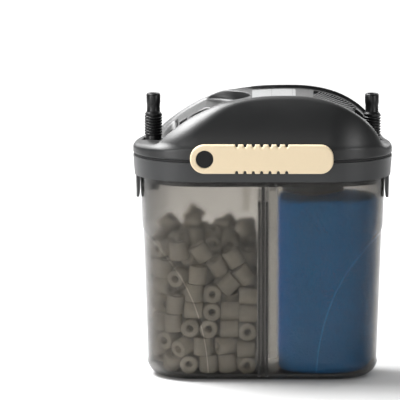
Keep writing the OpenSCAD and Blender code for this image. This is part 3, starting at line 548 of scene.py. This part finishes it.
def cover_field(x, y, z):
    out, deck = out_of_plan(x, y), deck_gap(x, z)

    # Cheeks that rise to the deck, with a wide shoulder at the left, and the deck's tray
    soft = 2.4 + 18 * np.exp(-((x + 60) / 26) ** 2)
    lift = 0.042 * (np.hypot(x + 14, 6) - x - 14) * (1 + 0.24 * np.clip(y / 35, -1, 1))
    cheek = np.hypot(out + CHEEK_R - BAND_R, np.maximum(z - FOOT_Z, 0)) - CHEEK_R
    shape = common(cheek, deck - lift, soft)
    sunk = common(cheek + np.interp(x, [-30, 0], [0.5, 2.6]), lift - deck - tray_depth(x), 1.6)
    shape = without(shape, np.where(x > -50, np.maximum(sunk, LEDGE_Z + 1 - z), 9.0), 0.8)

    # Ledge round the foot
    side, top = out - BAND_R + LEDGE_EDGE, z - LEDGE_Z + LEDGE_EDGE
    ledge = np.hypot(np.maximum(side, 0), np.maximum(top, 0)) + np.minimum(np.maximum(side, top), 0) - LEDGE_EDGE
    shape = common(np.maximum(merged(ledge, shape, 4.0), out - BAND_R), FOOT_Z - z, 0.8)

    # Hollow between the cheeks at the left, the fingers' room below it, and the outlet nozzle's groove
    section = np.hypot(y / HOLLOW_HALF, np.minimum(z - LEDGE_Z - 33, 0) / HOLLOW_TALL) - 1
    section = section * HOLLOW_TALL
    shape = without(shape, common(common(section, cheek + 9.5, 5.0), x - LIP_X, 5.0), 2.5)
    shape = without(shape, block_field(x, y, z, (-66, -19, LEDGE_Z), (-34, 19, 179.6), 3.5), 0.8)
    section = np.hypot(y, np.minimum(z - LEDGE_Z - 13.4, 0)) - 13
    shape = without(shape, common(section, 66 - x, 2.0), 1.2)

    # Hand dish, finger hole and the slot beside it
    plan = (np.hypot(np.maximum(x - DISH_X, 0) / DISH_LONG, y / DISH_HALF) - 1) * DISH_HALF
    floor = np.minimum(deck_height(x) - 1.0, 194.4) - 2.0 * (1 - (y / DISH_HALF) ** 2)
    shape = without(shape, common(plan, np.maximum(floor, LEDGE_Z + 2) - z, 3.5), 1.4)
    reach = np.hypot(x - HOLE_X, np.maximum(np.abs(y - HOLE_Y) - 5, 0)) - HOLE_R
    shape = without(shape, common(reach, 176 - z, 0.5), 2.6)
    shape = without(shape, block_field(x, y, z, (-59, -16, 176), (-54, 5, 195), 1.5), 0.8)

    # Room for the nozzles and for the levers' bosses and cams
    for side in (-1, 1):
        bore = np.hypot(x - side * NOZZLE_X, y) - BORE_R
        shape = without(shape, common(bore, 158 - z, 0.5), 0.8)
        boss = np.hypot(x - side * PIVOT_X, z - PIVOT_Z) - BOSS_R
        shape = without(shape, common(boss, 37.5 - side * y, 0.5), 0.5)
        near, far = sorted((side * 37, side * 43.4))
        cam = block_field(x, y, z, (side * PIVOT_X - 10, near, 155), (side * PIVOT_X + 10, far, 168), 0.5)
        shape = without(shape, cam, 0.4)

    # Pocket behind the vents, and the room for the pump's motor
    vents = block_field(x, y, z, (VENT_X[0], -VENT_HALF, 150), (VENT_X[1], VENT_HALF, 230), 1.5)
    shape = without(shape, common(vents, -deck - TRAY - 2.0, 0.3), 0.4)
    return without(shape, block_field(x, y, z, (0, -31, 150), (65, 31, 185), 3.0), 0.5)


points, faces = net(cover_field, (-94, -48, 159.4), (94, 48, 207), 0.82)
stand_in(piece("cover_shell", points, faces), "head_cover", "head", cover_plastic)


def vent_ribs_tree():
    """Row of leaned round bars that lie on the deck's curve."""
    tree, given, wanted, keys = geometry_tree("vent_ribs_tree", [
        ("Count", WHOLE, 14), ("Pitch", FLOAT, 2 * MM), ("First", FLOAT, 37 * MM),
        ("Half length", FLOAT, 23.2 * MM), ("Lean", FLOAT, math.radians(-10)), ("Rib radius", FLOAT, 0.5 * MM),
        ("Top X", FLOAT, APEX_X * MM), ("Nose length", FLOAT, (NOSE_X - APEX_X) * MM),
        ("Nose height", FLOAT, (APEX_Z - FOOT_Z) * MM), ("Foot", FLOAT, (FOOT_Z - TRAY - 0.5) * MM),
    ])
    start = vector(tree, Y=calc(tree, "MULTIPLY", given["Half length"], -1))
    stop = vector(tree, Y=given["Half length"])
    line = place(tree, "GeometryNodeCurvePrimitiveLine", {"Start": start, "End": stop})
    fine = place(tree, "GeometryNodeResampleCurve", {"Curve": line.outputs[0], "Count": 14})
    leaned = place(tree, "GeometryNodeTransform",
                   {"Geometry": fine.outputs[0], "Rotation": vector(tree, Z=given["Lean"])})
    row = place(tree, "GeometryNodeMeshLine", {
        "Count": given["Count"], "Start Location": vector(tree, X=given["First"]),
        "Offset": vector(tree, X=given["Pitch"]),
    })
    ribs = place(tree, "GeometryNodeInstanceOnPoints", {"Points": row.outputs[0], "Instance": leaned.outputs[0]})
    ribs = place(tree, "GeometryNodeRealizeInstances", {"Geometry": ribs.outputs[0]})
    spot = place(tree, "GeometryNodeInputPosition").outputs[0]
    split = place(tree, "ShaderNodeSeparateXYZ", {0: spot}).outputs
    ratio = calc(tree, "DIVIDE", calc(tree, "SUBTRACT", split[0], given["Top X"]), given["Nose length"])
    arc = calc(tree, "SQRT", calc(tree, "SUBTRACT", 1, calc(tree, "POWER", ratio, 2), True))
    height = calc(tree, "ADD", calc(tree, "MULTIPLY", arc, given["Nose height"]), given["Foot"])
    draped = place(tree, "GeometryNodeSetPosition", {
        "Geometry": ribs.outputs[0], "Position": vector(tree, X=split[0], Y=split[1], Z=height),
    })
    bar = place(tree, "GeometryNodeCurvePrimitiveCircle", {"Resolution": 10, "Radius": given["Rib radius"]})
    swept = place(tree, "GeometryNodeCurveToMesh",
                  {"Curve": draped.outputs[0], "Profile Curve": bar.outputs[0], "Fill Caps": True})
    finish_tree(tree, given, wanted, swept.outputs[0])
    return tree, keys


tree, keys = vent_ribs_tree()
ribs = piece("vent_ribs", [(0, 0, 0)], [])
grow(ribs, tree, {keys["Material"]: cover_plastic})
stand_in(ribs, "head_cover", "head")


def label_plate(x0, x1, half, corner, thick, gap=0.02):
    """Thin film that follows the deck, with round corners."""
    bend = np.linspace(0.05, math.pi / 2, 6)
    edges = np.concatenate([
        x0 + corner - corner * np.cos(bend), np.linspace(x0 + corner, x1 - corner, 16)[1:-1],
        x1 - corner + corner * np.cos(bend[::-1]),
    ])
    points, faces = [], []
    for x in edges:
        inset = corner - math.sqrt(max(corner ** 2 - max(x0 + corner - x, x - x1 + corner, 0) ** 2, 0))
        z = float(deck_height(x) - tray_depth(x)) + gap
        low, high = -half + inset, half - inset
        points += [(x, low, z), (x, high, z), (x, high, z + thick), (x, low, z + thick)]
    for i in range(len(edges) - 1):
        n = 4 * i
        faces += [(n + j, n + 4 + j, n + 4 + (j + 1) % 4, n + (j + 1) % 4) for j in range(4)]
    n = len(points) - 4
    return points, faces + [(0, 1, 2, 3), (n + 3, n + 2, n + 1, n)]


label = piece("label_plate", *label_plate(-7.5, 23.5, 21, 2, 0.3), False)
stand_in(label, "rating_label", "head", film)

# ---- Hose nozzles ----

def lathe(profile, x, y, around=48):
    """Closed turned body from (radius, height) points that run round its section."""
    points = [
        (x + r * math.cos(2 * math.pi * j / around), y + r * math.sin(2 * math.pi * j / around), z)
        for r, z in profile for j in range(around)
    ]
    return points, ring_quads(len(profile), around, True)


def hose_thread_tree():
    """Round ridge wound up a nozzle."""
    tree, given, wanted, keys = geometry_tree("hose_thread_tree", [
        ("Turns", FLOAT, 7.0), ("Radius", FLOAT, 5.55 * MM), ("Rise", FLOAT, 14 * MM), ("Ridge", FLOAT, 0.9 * MM),
        ("Across", FLOAT, NOZZLE_X * MM), ("Base", FLOAT, 173.2 * MM),
    ])
    coil = place(tree, "GeometryNodeCurveSpiral", {
        "Resolution": 28, "Rotations": given["Turns"], "Start Radius": given["Radius"],
        "End Radius": given["Radius"], "Height": given["Rise"],
    })
    ridge = place(tree, "GeometryNodeCurvePrimitiveCircle", {"Resolution": 8, "Radius": given["Ridge"]})
    swept = place(tree, "GeometryNodeCurveToMesh",
                  {"Curve": coil.outputs[0], "Profile Curve": ridge.outputs[0], "Fill Caps": True})
    moved = place(tree, "GeometryNodeTransform", {
        "Geometry": swept.outputs[0], "Translation": vector(tree, X=given["Across"], Z=given["Base"]),
    })
    finish_tree(tree, given, wanted, moved.outputs[0])
    return tree, keys


NOZZLE = [
    (3.1, 202.8), (3.1, 147), (4.6, 147), (4.6, 151.5), (7.2, 151.5), (7.6, 151.9), (7.6, 154.1), (7.2, 154.5),
    (5.9, 154.8), (5.7, 156), (5.7, 172.4), (5.55, 173.2), (5.55, 187.2), (6.0, 187.9), (5.9, 188.7), (5.0, 189.4),
    (4.7, 190.4), (4.65, 194.4), (4.8, 195.6), (5.0, 196.6), (5.0, 201.6), (4.75, 202.5), (4.3, 203), (3.4, 203),
]
tree, keys = hose_thread_tree()
for side, name, node in ((-1, "inlet", "inlet_nozzle"), (1, "outlet", "outlet_nozzle")):
    tube = piece(name + "_tube", *lathe(NOZZLE, side * NOZZLE_X, 0))
    paint(tube, nozzle_plastic)
    thread = piece(name + "_thread", [(0, 0, 0)], [])
    grow(thread, tree, {keys["Across"]: side * NOZZLE_X * MM, keys["Material"]: nozzle_plastic})
    for part in (tube, thread):
        clean(part)
        stand_in(part, node, "head")

# ---- Tub ----

ARCH_HIGH, ARCH_SUNK = 106.5, 0.75
PRONG_TOP = 166.7
SOCKET_Z = (112.5, 142.5)


def tub_columns(straight=78, bend=96):
    """Centre along X and outward direction of each column round the plan."""
    rows = []
    for side in (-1, 1):
        rows += [(side * (SPAN - 2 * SPAN * i / straight), 0, side) for i in range(straight)]
        turns = [math.pi * i / bend for i in range(bend)]
        rows += [(-side * SPAN, -side * math.sin(a), side * math.cos(a)) for a in turns]
    return np.array(rows)


def tub_outer(z):
    return FOOT_R + (RIM_R - FOOT_R) * (z - EDGE_R) / (RIM_Z - EDGE_R)


def tub_inner(z):
    return np.interp(z, [FLOOR_T + EDGE_R - WALL, COLLAR_Z, COLLAR_Z + WALL, RIM_Z], [33.8, 36.6, 38.1, 38.1])


def arch_depth(centre, out_x, out_y, z):
    """How far a point of the wall lies inside the arch that is moulded into each end."""
    turn = np.arctan2(np.abs(out_x), np.abs(out_y))
    length = np.where(np.abs(out_x) > 1e-6, 38 * turn, np.abs(centre) - SPAN)
    return (1 - np.hypot((60 - length) / 68, z / ARCH_HIGH)) * ARCH_HIGH * 0.75


def foot_edge(bend, low, turns):
    """Round lower edge of a wall, as (radius, height) points."""
    return [(24.2 + bend * math.sin(a), low + bend - bend * math.cos(a)) for a in turns]


columns = tub_columns()
bend = EDGE_R - WALL
outer = [(0, 0), (12, 0), (24.0, 0)] + foot_edge(EDGE_R, 0, np.linspace(0.12, math.pi / 2, 9)[:-1])
outer += [(None, z) for z in np.arange(EDGE_R, RIM_Z - 0.6, 1.35)] + [(40.9, RIM_Z - 0.6), (40.4, RIM_Z)]
inner = [(38.5, RIM_Z), (38.1, RIM_Z - 0.5)] + [(None, z) for z in np.arange(RIM_Z - 4, FLOOR_T + bend, -5.0)]
inner += foot_edge(bend, FLOOR_T, np.linspace(math.pi / 2, 0.12, 8))
inner += [(24.0, FLOOR_T), (12, FLOOR_T), (0, FLOOR_T)]
points, marks = [], []
for i, (r, z) in enumerate(outer + inner):
    arch = arch_depth(*columns.T, z)
    if r is None and i < len(outer):
        sunk = np.clip(arch / 1.6 + 0.5, 0, 1)
        r = tub_outer(z) - ARCH_SUNK * sunk * sunk * (3 - 2 * sunk)
    elif r is None:
        r = tub_inner(z)
    x, y = columns[:, 0] + columns[:, 1] * r, columns[:, 2] * r
    points.append(np.stack([x, y, np.full(len(columns), z)], 1))
    marks.append(arch)
tub = piece("canister_tub", np.concatenate(points), ring_quads(len(points), len(columns), False))
mark = tub.data.attributes.new("arch", "FLOAT", "POINT")
mark.data.foreach_set("value", np.concatenate(marks).astype(np.float32))
clean(tub, merge=0.002 * MM)
stand_in(tub, "container", "tub", smoked)


def boxes(name, corners, bevel):
    """Bevelled boxes, each given by its low and high corner, as one piece."""
    sides = ((0, 1, 3, 2), (4, 6, 7, 5), (0, 4, 5, 1), (2, 3, 7, 6), (0, 2, 6, 4), (1, 5, 7, 3))
    points, faces = [], []
    for low, high in corners:
        n = len(points)
        points += [(x, y, z) for x in (low[0], high[0]) for y in (low[1], high[1]) for z in (low[2], high[2])]
        faces += [[n + i for i in side] for side in sides]
    made = piece(name, points, faces, False)
    clean(made, bevel=bevel * MM)
    return made


prongs, socket = [], []
for side in (-1, 1):
    y0, y1 = sorted((side * 38.6, side * 42.3))
    for low in (side * PIVOT_X - 8.5, side * PIVOT_X + 5.3):
        prongs.append(((low, y0, RIM_Z - 0.4), (low + 3.2, y1, PRONG_TOP)))
    for near, far, y in ((12.0, 14.0, 40.6), (9.0, 12.5, 44.0)):
        x0, x1 = sorted((side * near, side * far))
        socket.append(((x0, y, SOCKET_Z[0]), (x1, 46.0, SOCKET_Z[1])))
for name, corners, material in (("lock_prongs", prongs, dense_smoke), ("hanger_rails", socket, smoked)):
    stand_in(boxes(name, corners, 0.35), "container", "tub", material)

points, faces = [], []
for x0, x1 in ((-3.0, -1.3), (2.3, 4.0)):
    for side in (-1, 1):
        n = len(points)
        points += [(x, side * y, z) for z, far in ((3.1, 33.0), (13, 33.7), (109.5, 36.5), (129.9, 36.5))
                   for x, y in ((x0, 31.2), (x1, 31.2), (x1, far), (x0, far))]
        quads = ring_quads(4, 4, False) + [(0, 3, 2, 1), (12, 13, 14, 15)]
        faces += [[n + i for i in quad] for quad in quads]
rails = piece("partition_rails", points, faces, False)
clean(rails)
stand_in(rails, "container", "tub", dense_smoke)

# ---- Media ----

# Place of each ring in tenths of a millimetre, then its tilt and turn in degrees
RINGS = (
    (-228, -98, 97, 90, 99), (-233, 38, 97, 90, 92), (-391, 27, 97, 90, 34), (-429, 159, 97, 90, -55),
    (-103, 116, 97, 90, 89), (-244, 183, 97, 90, 75), (-100, 248, 98, 90, -180), (-356, -110, 98, 1, 116),
    (-101, -16, 98, 89, -90), (-120, -208, 101, 90, 104), (-514, -214, 104, 85, -100), (-600, -32, 105, 83, -121),
    (-250, -235, 117, 8, 136), (-386, -235, 117, 1, 18), (-646, 151, 119, 21, 68), (-535, 90, 126, 13, 73),
    (-483, -84, 128, 10, 83), (-638, -185, 128, 35, -75), (-712, 38, 136, 85, 156), (-525, 252, 137, 34, 27),
    (-337, 269, 162, 37, 2), (-722, -82, 198, 35, 110), (-306, 142, 220, 82, -4), (-359, 12, 222, 81, 85),
    (-101, 273, 223, 90, -180), (-102, -142, 224, 87, -91), (-233, -100, 226, 85, 1), (-101, 15, 226, 90, 180),
    (-115, 144, 226, 89, 180), (-115, -271, 228, 89, -1), (-561, -234, 237, 77, 50), (-374, -141, 240, 13, 80),
    (-630, 216, 240, 12, 52), (-229, 273, 241, 88, -90), (-511, 151, 243, 90, -18), (-436, 269, 243, 37, 9),
    (-604, -13, 244, 80, 113), (-424, -271, 247, 1, 4), (-266, -247, 250, 84, 24), (-706, 111, 257, 87, -27),
    (-478, 3, 278, 59, -84), (-662, -167, 280, 85, 52), (-236, 17, 299, 53, -98), (-739, -3, 313, 27, 94),
    (-498, -117, 334, 34, 69), (-101, -15, 351, 90, 0), (-103, -145, 352, 88, -90), (-106, 272, 352, 90, -176),
    (-106, -275, 355, 90, -90), (-406, 128, 356, 77, -128), (-103, 142, 356, 3, 77), (-520, 260, 357, 53, 23),
    (-239, 169, 361, 33, 68), (-570, 101, 363, 44, -108), (-341, 255, 367, 86, -28), (-339, -83, 368, 65, -151),
    (-376, -269, 375, 90, -98), (-235, -277, 375, 90, 180), (-508, -268, 381, 89, 81), (-703, 140, 388, 6, -153),
    (-712, -122, 408, 4, -153), (-631, -222, 409, 3, -147), (-605, -17, 421, 51, 106), (-230, -155, 423, 65, 90),
    (-473, 9, 434, 15, 153), (-341, 29, 437, 58, 103), (-209, 66, 438, 87, -157), (-612, 225, 446, 79, -55),
    (-216, 279, 469, 87, -90), (-429, -122, 471, 63, -156), (-745, 7, 475, 8, -106), (-101, -152, 481, 90, 0),
    (-101, -20, 484, 11, 90), (-101, -281, 484, 90, 0), (-350, 146, 495, 80, 6), (-357, 276, 495, 87, -175),
    (-359, -281, 503, 88, 90), (-230, -281, 505, 90, 0), (-489, -272, 509, 87, 178), (-568, -114, 515, 43, -38),
    (-494, 142, 519, 8, -56), (-649, 91, 523, 82, -35), (-514, 271, 524, 34, -163), (-100, 279, 525, 86, -90),
    (-707, -130, 537, 90, 116), (-618, -237, 544, 6, -50), (-121, 152, 549, 25, 173), (-228, -18, 553, 73, 84),
    (-360, -21, 559, 87, -179), (-509, 0, 560, 75, -18), (-230, -165, 563, 18, -90), (-360, -154, 580, 88, 90),
    (-622, 216, 599, 75, -49), (-240, 245, 601, 86, -138), (-749, -8, 605, 10, -101), (-100, 14, 608, 11, 90),
    (-101, -154, 610, 89, 90), (-101, -285, 612, 90, 180), (-350, 95, 617, 35, -99), (-481, -156, 631, 32, -3),
    (-356, -285, 632, 88, 90), (-485, -285, 638, 4, -31), (-382, 282, 639, 18, 16), (-721, 113, 664, 81, 66),
    (-692, -146, 668, 84, 137), (-576, 51, 671, 77, -14), (-159, 144, 678, 66, 28), (-504, 279, 683, 72, -173),
    (-218, -44, 692, 84, -129), (-466, 153, 695, 7, -162), (-239, -287, 696, 47, -1), (-400, 8, 710, 72, 146),
    (-569, -85, 710, 66, 154), (-272, -164, 720, 23, -23), (-207, 288, 727, 89, -180), (-623, 214, 733, 77, -64),
    (-101, 37, 735, 11, 90), (-101, -139, 739, 1, -72), (-593, -249, 742, 83, 65), (-299, 145, 743, 61, 179),
    (-409, -133, 746, 36, 9), (-460, -288, 766, 4, -31), (-127, -289, 768, 41, -178), (-353, 276, 770, 21, 16),
    (-696, -167, 797, 7, -64), (-747, -40, 798, 12, -111), (-597, 80, 806, 15, -146), (-731, 97, 812, 82, -20),
    (-102, 192, 815, 59, -88), (-322, -271, 832, 37, -136), (-449, 119, 836, 81, 57), (-497, -14, 838, 81, -24),
    (-505, 279, 842, 75, 4), (-340, -32, 843, 37, -90), (-213, 35, 848, 68, 37), (-230, -141, 855, 12, -2),
    (-215, 284, 858, 81, -91), (-652, 214, 872, 83, -49), (-101, -47, 873, 4, -89), (-501, -169, 875, 77, -129),
    (-101, -189, 875, 17, -90), (-202, -286, 886, 30, 175), (-289, 138, 892, 85, 131), (-391, 292, 919, 73, 2),
    (-102, 104, 920, 60, -88), (-351, -149, 925, 38, -86), (-436, -286, 930, 34, -165),
    (-752, -47, 932, 14, -100), (-102, 269, 934, 69, -91), (-594, -265, 935, 4, -179), (-692, -169, 944, 84, 32),
    (-726, 90, 953, 80, 72), (-546, 118, 961, 17, -39), (-551, 273, 964, 16, -161), (-600, -73, 964, 86, -59),
    (-229, -23, 965, 72, 87), (-472, -29, 981, 6, 154), (-356, 28, 987, 31, -71), (-431, 190, 993, 37, 119),
    (-111, -10, 1031, 33, 108), (-112, 171, 1038, 24, 101), (-669, 200, 1043, 40, -154),
    (-241, 258, 1046, 36, -169), (-278, 117, 1048, 84, 154), (-675, 39, 1083, 49, -16),
    (-499, 84, 1094, 87, -177), (-494, 283, 1115, 37, 15),
)

def ring_pile_tree():
    """One ring with a bore on each point, turned as the point's own angles say."""
    tree, given, wanted, keys = geometry_tree("ring_pile_tree", [
        ("Outer radius", FLOAT, 6.35 * MM), ("Bore radius", FLOAT, 2.5 * MM), ("Length", FLOAT, 12.7 * MM),
        ("Edge", FLOAT, 0.6 * MM),
    ])
    radii = given["Outer radius"], given["Bore radius"]
    middle = calc(tree, "MULTIPLY", calc(tree, "ADD", *radii), 0.5)
    loop = place(tree, "GeometryNodeCurvePrimitiveCircle", {"Resolution": 16, "Radius": middle})
    wall = place(tree, "GeometryNodeCurvePrimitiveQuadrilateral", {
        "Width": calc(tree, "SUBTRACT", *radii), "Height": given["Length"],
    })
    soft = place(tree, "GeometryNodeFilletCurve",
                 {"Curve": wall.outputs[0], "Radius": given["Edge"], "Count": 1}, mode="POLY")
    swept = place(tree, "GeometryNodeCurveToMesh", {"Curve": loop.outputs[0], "Profile Curve": soft.outputs[0]})
    lie = place(tree, "GeometryNodeInputNamedAttribute", {"Name": "lie"}, data_type="FLOAT_VECTOR")
    turned = place(tree, "FunctionNodeEulerToRotation", {0: lie.outputs[0]})
    copies = place(tree, "GeometryNodeInstanceOnPoints", {
        "Points": given[0], "Instance": swept.outputs[0], "Rotation": turned.outputs[0],
    })
    finish_tree(tree, given, wanted, copies.outputs[0])
    return tree, keys


tree, keys = ring_pile_tree()
pile = piece("ring_pile", [[v / 10 for v in ring[:3]] for ring in RINGS], [])
lie = pile.data.attributes.new("lie", "FLOAT_VECTOR", "POINT")
lie.data.foreach_set("vector", [math.radians(v) for ring in RINGS for v in (0, *ring[3:])])
grow(pile, tree, {keys["Material"]: clay})
stand_in(pile, "ceramic_rings", "tub")


def wave(x, y, z, size):
    """Smooth repeatable unevenness between about -1 and 1."""
    return (np.sin(x / size + 1.3 * np.sin(y / size * 0.8)) + np.sin(y / size * 1.1 + 1.7 * np.sin(z / size * 0.7))
            + np.sin(z / size * 0.9 + 1.1 * np.sin(x / size * 1.2))) / 3


def foam_field(x, y, z):
    side = out_of_plan(x, y) - np.interp(z, [3.2, 6, 12.8, COLLAR_Z], [26.0, 30.6, 32.9, 35.9])
    shape = common(common(side, 11.3 - x, 26.0), common(z - 130.6, 3.3 - z, 3.0), 4.0)
    return shape + 0.25 + 0.25 * wave(x, y, z, 5)


def floss_field(x, y, z):
    half = np.interp(z, [16, 30, COLLAR_Z], [31.5, 33.2, 35.4])
    shape = block_field(x, y * 35.4 / half, z, (4.3, -35.4, 15.8), (10.9, 35.4, 138.6), 1.6)
    return shape + 0.3 + 0.3 * wave(x, y, z, 3.1) + 0.15 * wave(y, z, x, 1.4)


foam_block = piece("foam_block", *net(foam_field, (8, -40, 0), (86, 40, 134), 1.5))
stand_in(foam_block, "sponge_block", "tub", foam)

floss_sheet = piece("floss_sheet", *net(floss_field, (2, -36, 12), (13, 36, 142), 1.0))
stand_in(floss_sheet, "floss_pad", "tub", floss)

# ---- Levers ----

LEVER_LONG, LEVER_HALF, LEVER_THICK, LEVER_CORNER = 101.6, 10.4, 4, 9.2
LEVER_BACK = 48  # from the middle of the filter to the back of a lever's plate
NOTCHES, NOTCH_PITCH, NOTCH_DEEP, NOTCH_R = 7, 5.9, 0.95, 1.05


def lever_field(x, y, z):
    """Drawn at the front, about the pivot, with Y outwards from the plate's back."""
    far = LEVER_LONG - LEVER_HALF
    round_end = np.hypot(np.minimum(x, 0), z) - LEVER_HALF
    over_x = np.maximum(x - far + LEVER_CORNER, 0)
    over_z = np.maximum(np.abs(z) - LEVER_HALF + LEVER_CORNER, 0)
    soft_end = np.hypot(over_x, over_z) - LEVER_CORNER
    outline = np.where(x < 40, np.maximum(round_end, np.abs(z) - LEVER_HALF), soft_end)
    for i in range(NOTCHES):
        middle = LEVER_LONG / 2 - LEVER_HALF + (i - NOTCHES // 2) * NOTCH_PITCH
        notch = np.hypot(x - middle, np.maximum(LEVER_HALF - NOTCH_DEEP - np.abs(z), 0)) - NOTCH_R
        outline = common(outline, -notch, 0.5)
    shape = common(common(outline, y - LEVER_THICK, 1.5), -y, 0.5)
    recess, bore = np.hypot(x, z) - 6.25, np.hypot(x, z) - 2.1
    shape = without(shape, common(recess, 1.45 - y, 0.2), 0.5)
    return without(shape, bore, 0.2)


points, faces = net(lever_field, (-12, -1, -12), (95, 5, 12), 0.5)
for side, end in ((-1, "front"), (1, "rear")):
    x, y = side * (PIVOT_X - points[:, 0]), side * (LEVER_BACK + points[:, 1])
    grip = piece(end + "_grip", np.stack([x, y, PIVOT_Z + points[:, 2]], 1), faces)
    clean(grip)
    stand_in(grip, end + "_lever", end + "_lock", cream_plastic)

# ---- Nodes that keep their shape ----

for material, nodes in {
    dense_smoke: ["partition"],
    band_plastic: ["lock_band"],
    dark_plastic: ["head_base", "inlet_spout", "pump_chamber", "outlet_duct", "intake_strainer"],
    seal_rubber: ["main_seal", "cover_gasket", "cable_grommet", "nozzle_seals", "upper_bush", "lower_bush"],
    steel: ["cover_screws"],
    laminations: ["stator_core"],
    bobbin_plastic: ["coil_bobbins"],
    copper_wire: ["stator_coils"],
    alumina: ["rotor_shaft"],
    magnet_black: ["rotor_magnet"],
    impeller_plastic: ["impeller"],
    pin_plastic: ["front_pivot_pin", "rear_pivot_pin"],
    cam_plastic: ["front_cam", "rear_cam"],
}.items():
    for node in nodes:
        paint(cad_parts[node], material)

# ---- Studio ----

PAPER_HALF, PAPER_FRONT, PAPER_BEND, PAPER_R, PAPER_TOP = 3000, -4000, 1500, 900, 4000


def sheet_material():
    """Matt white paper, open from behind so that the filter shows from every side."""
    material, tree, shader, where = bare_material("studio_paper")
    behind = tree.nodes.new("ShaderNodeNewGeometry").outputs["Backfacing"]
    solid = tree.nodes["Principled BSDF"].outputs[0]
    clear = tree.nodes.new("ShaderNodeBsdfTransparent").outputs[0]
    shaded = place(tree, "ShaderNodeMixShader", {0: behind, 1: solid, 2: clear})
    tree.links.new(shaded.outputs[0], tree.nodes["Material Output"].inputs[0])
    shown = mixed(tree, noise(tree, where, 3, 2), (0.53, 0.53, 0.53, 1), (0.56, 0.56, 0.56, 1))
    tree.links.new(shown, shader["Base Color"])
    shader["Roughness"].default_value = 0.9
    shader["Specular IOR Level"].default_value = 0.1
    return material


turns = np.linspace(0, math.pi / 2, 13)
line = [(PAPER_BEND + PAPER_R * math.sin(a), PAPER_R - PAPER_R * math.cos(a)) for a in turns]
line = [(PAPER_FRONT, 0), *line, (PAPER_BEND + PAPER_R, PAPER_TOP)]
sweep = [(x, y, z) for y, z in line for x in (-PAPER_HALF, PAPER_HALF)]
strips = [(2 * i, 2 * i + 1, 2 * i + 3, 2 * i + 2) for i in range(len(line) - 1)]
paper = piece("studio_sweep", sweep, strips)
paint(paper, sheet_material())


def aim_at(made, place_m, target_m):
    """Puts a lamp or camera at a place, looking at a target."""
    bpy.context.scene.collection.objects.link(made)
    made.location = place_m
    made.rotation_mode = "QUATERNION"
    made.rotation_quaternion = (target_m - place_m).to_track_quat("-Z", "Y")


def soft_light(name, place_mm, target_mm, wide_mm, power, tall_mm=None):
    lamp = bpy.data.lights.new(name, "AREA")
    lamp.shape = "RECTANGLE"
    lamp.size, lamp.size_y = wide_mm * MM, (tall_mm or wide_mm) * MM
    lamp.energy = power
    aim_at(bpy.data.objects.new(name, lamp), Vector(place_mm) * MM, Vector(target_mm) * MM)


soft_light("top_box", (-610, 220, 1110), (-40, 0, 160), 700, 44)
soft_light("rim_box", (0, 1300, 950), (0, 0, 180), 1400, 3, 600)
soft_light("front_box", (-400, -1700, 280), (0, 0, 100), 900, 6)
for side, front, back in ((-1, 17, 6), (1, 10, 7)):
    soft_light("side_front_box", (side * 1350, -1150, 320), (0, 0, 100), 800, front)
    soft_light("side_back_box", (side * 950, 1300, 850), (0, 0, 170), 600, back)
soft_light("back_wash", (0, 900, 1500), (0, 2300, 500), 2200, 38, 800)

world = bpy.data.worlds.new("studio")
bpy.context.scene.world = world
world.use_nodes = True
sky = world.node_tree
glow = sky.nodes["Background"].inputs
camera_ray = place(sky, "ShaderNodeLightPath").outputs["Is Camera Ray"]
split = place(sky, "ShaderNodeSeparateXYZ", {0: place(sky, "ShaderNodeTexCoord").outputs["Generated"]}).outputs
lift = place(sky, "ShaderNodeMapRange", {0: split["Z"], 1: -0.1, 2: 0.9, 3: 0.1, 4: 0.22}).outputs[0]
back = place(sky, "ShaderNodeMapRange", {0: split["Y"], 1: -0.2, 2: 0.9, 3: 0.0, 4: 0.6}).outputs[0]
seen = place(sky, "ShaderNodeMix", {0: camera_ray, 2: calc(sky, "ADD", lift, back), 3: 1.0})
glow["Color"].default_value = (1, 1, 1, 1)
sky.links.new(seen.outputs[0], glow["Strength"])

FRAME_PX, PX_MM = 400, 0.7155  # columns of the square frame, and the width of one at the filter
MIDDLE_PX, MIDDLE_Z = 262.5, 125.75  # column of the filter's middle, and height of the frame's middle
ELEVATION = math.radians(8.75)
DISTANCE = 5.0
SENSOR = 36

lens = bpy.data.cameras.new("view")
lens.sensor_width = SENSOR
lens.lens = SENSOR * DISTANCE / (FRAME_PX * PX_MM * MM)
lens.clip_start, lens.clip_end = 0.5, 30
camera = bpy.data.objects.new("view", lens)
target = Vector(((FRAME_PX / 2 - MIDDLE_PX) * PX_MM, 0, MIDDLE_Z)) * MM
stand = Vector((0, -DISTANCE * math.cos(ELEVATION), target.z + DISTANCE * math.sin(ELEVATION)))
aim_at(camera, stand, target)
bpy.context.scene.camera = camera
bpy.context.scene.view_settings.view_transform = "Standard"
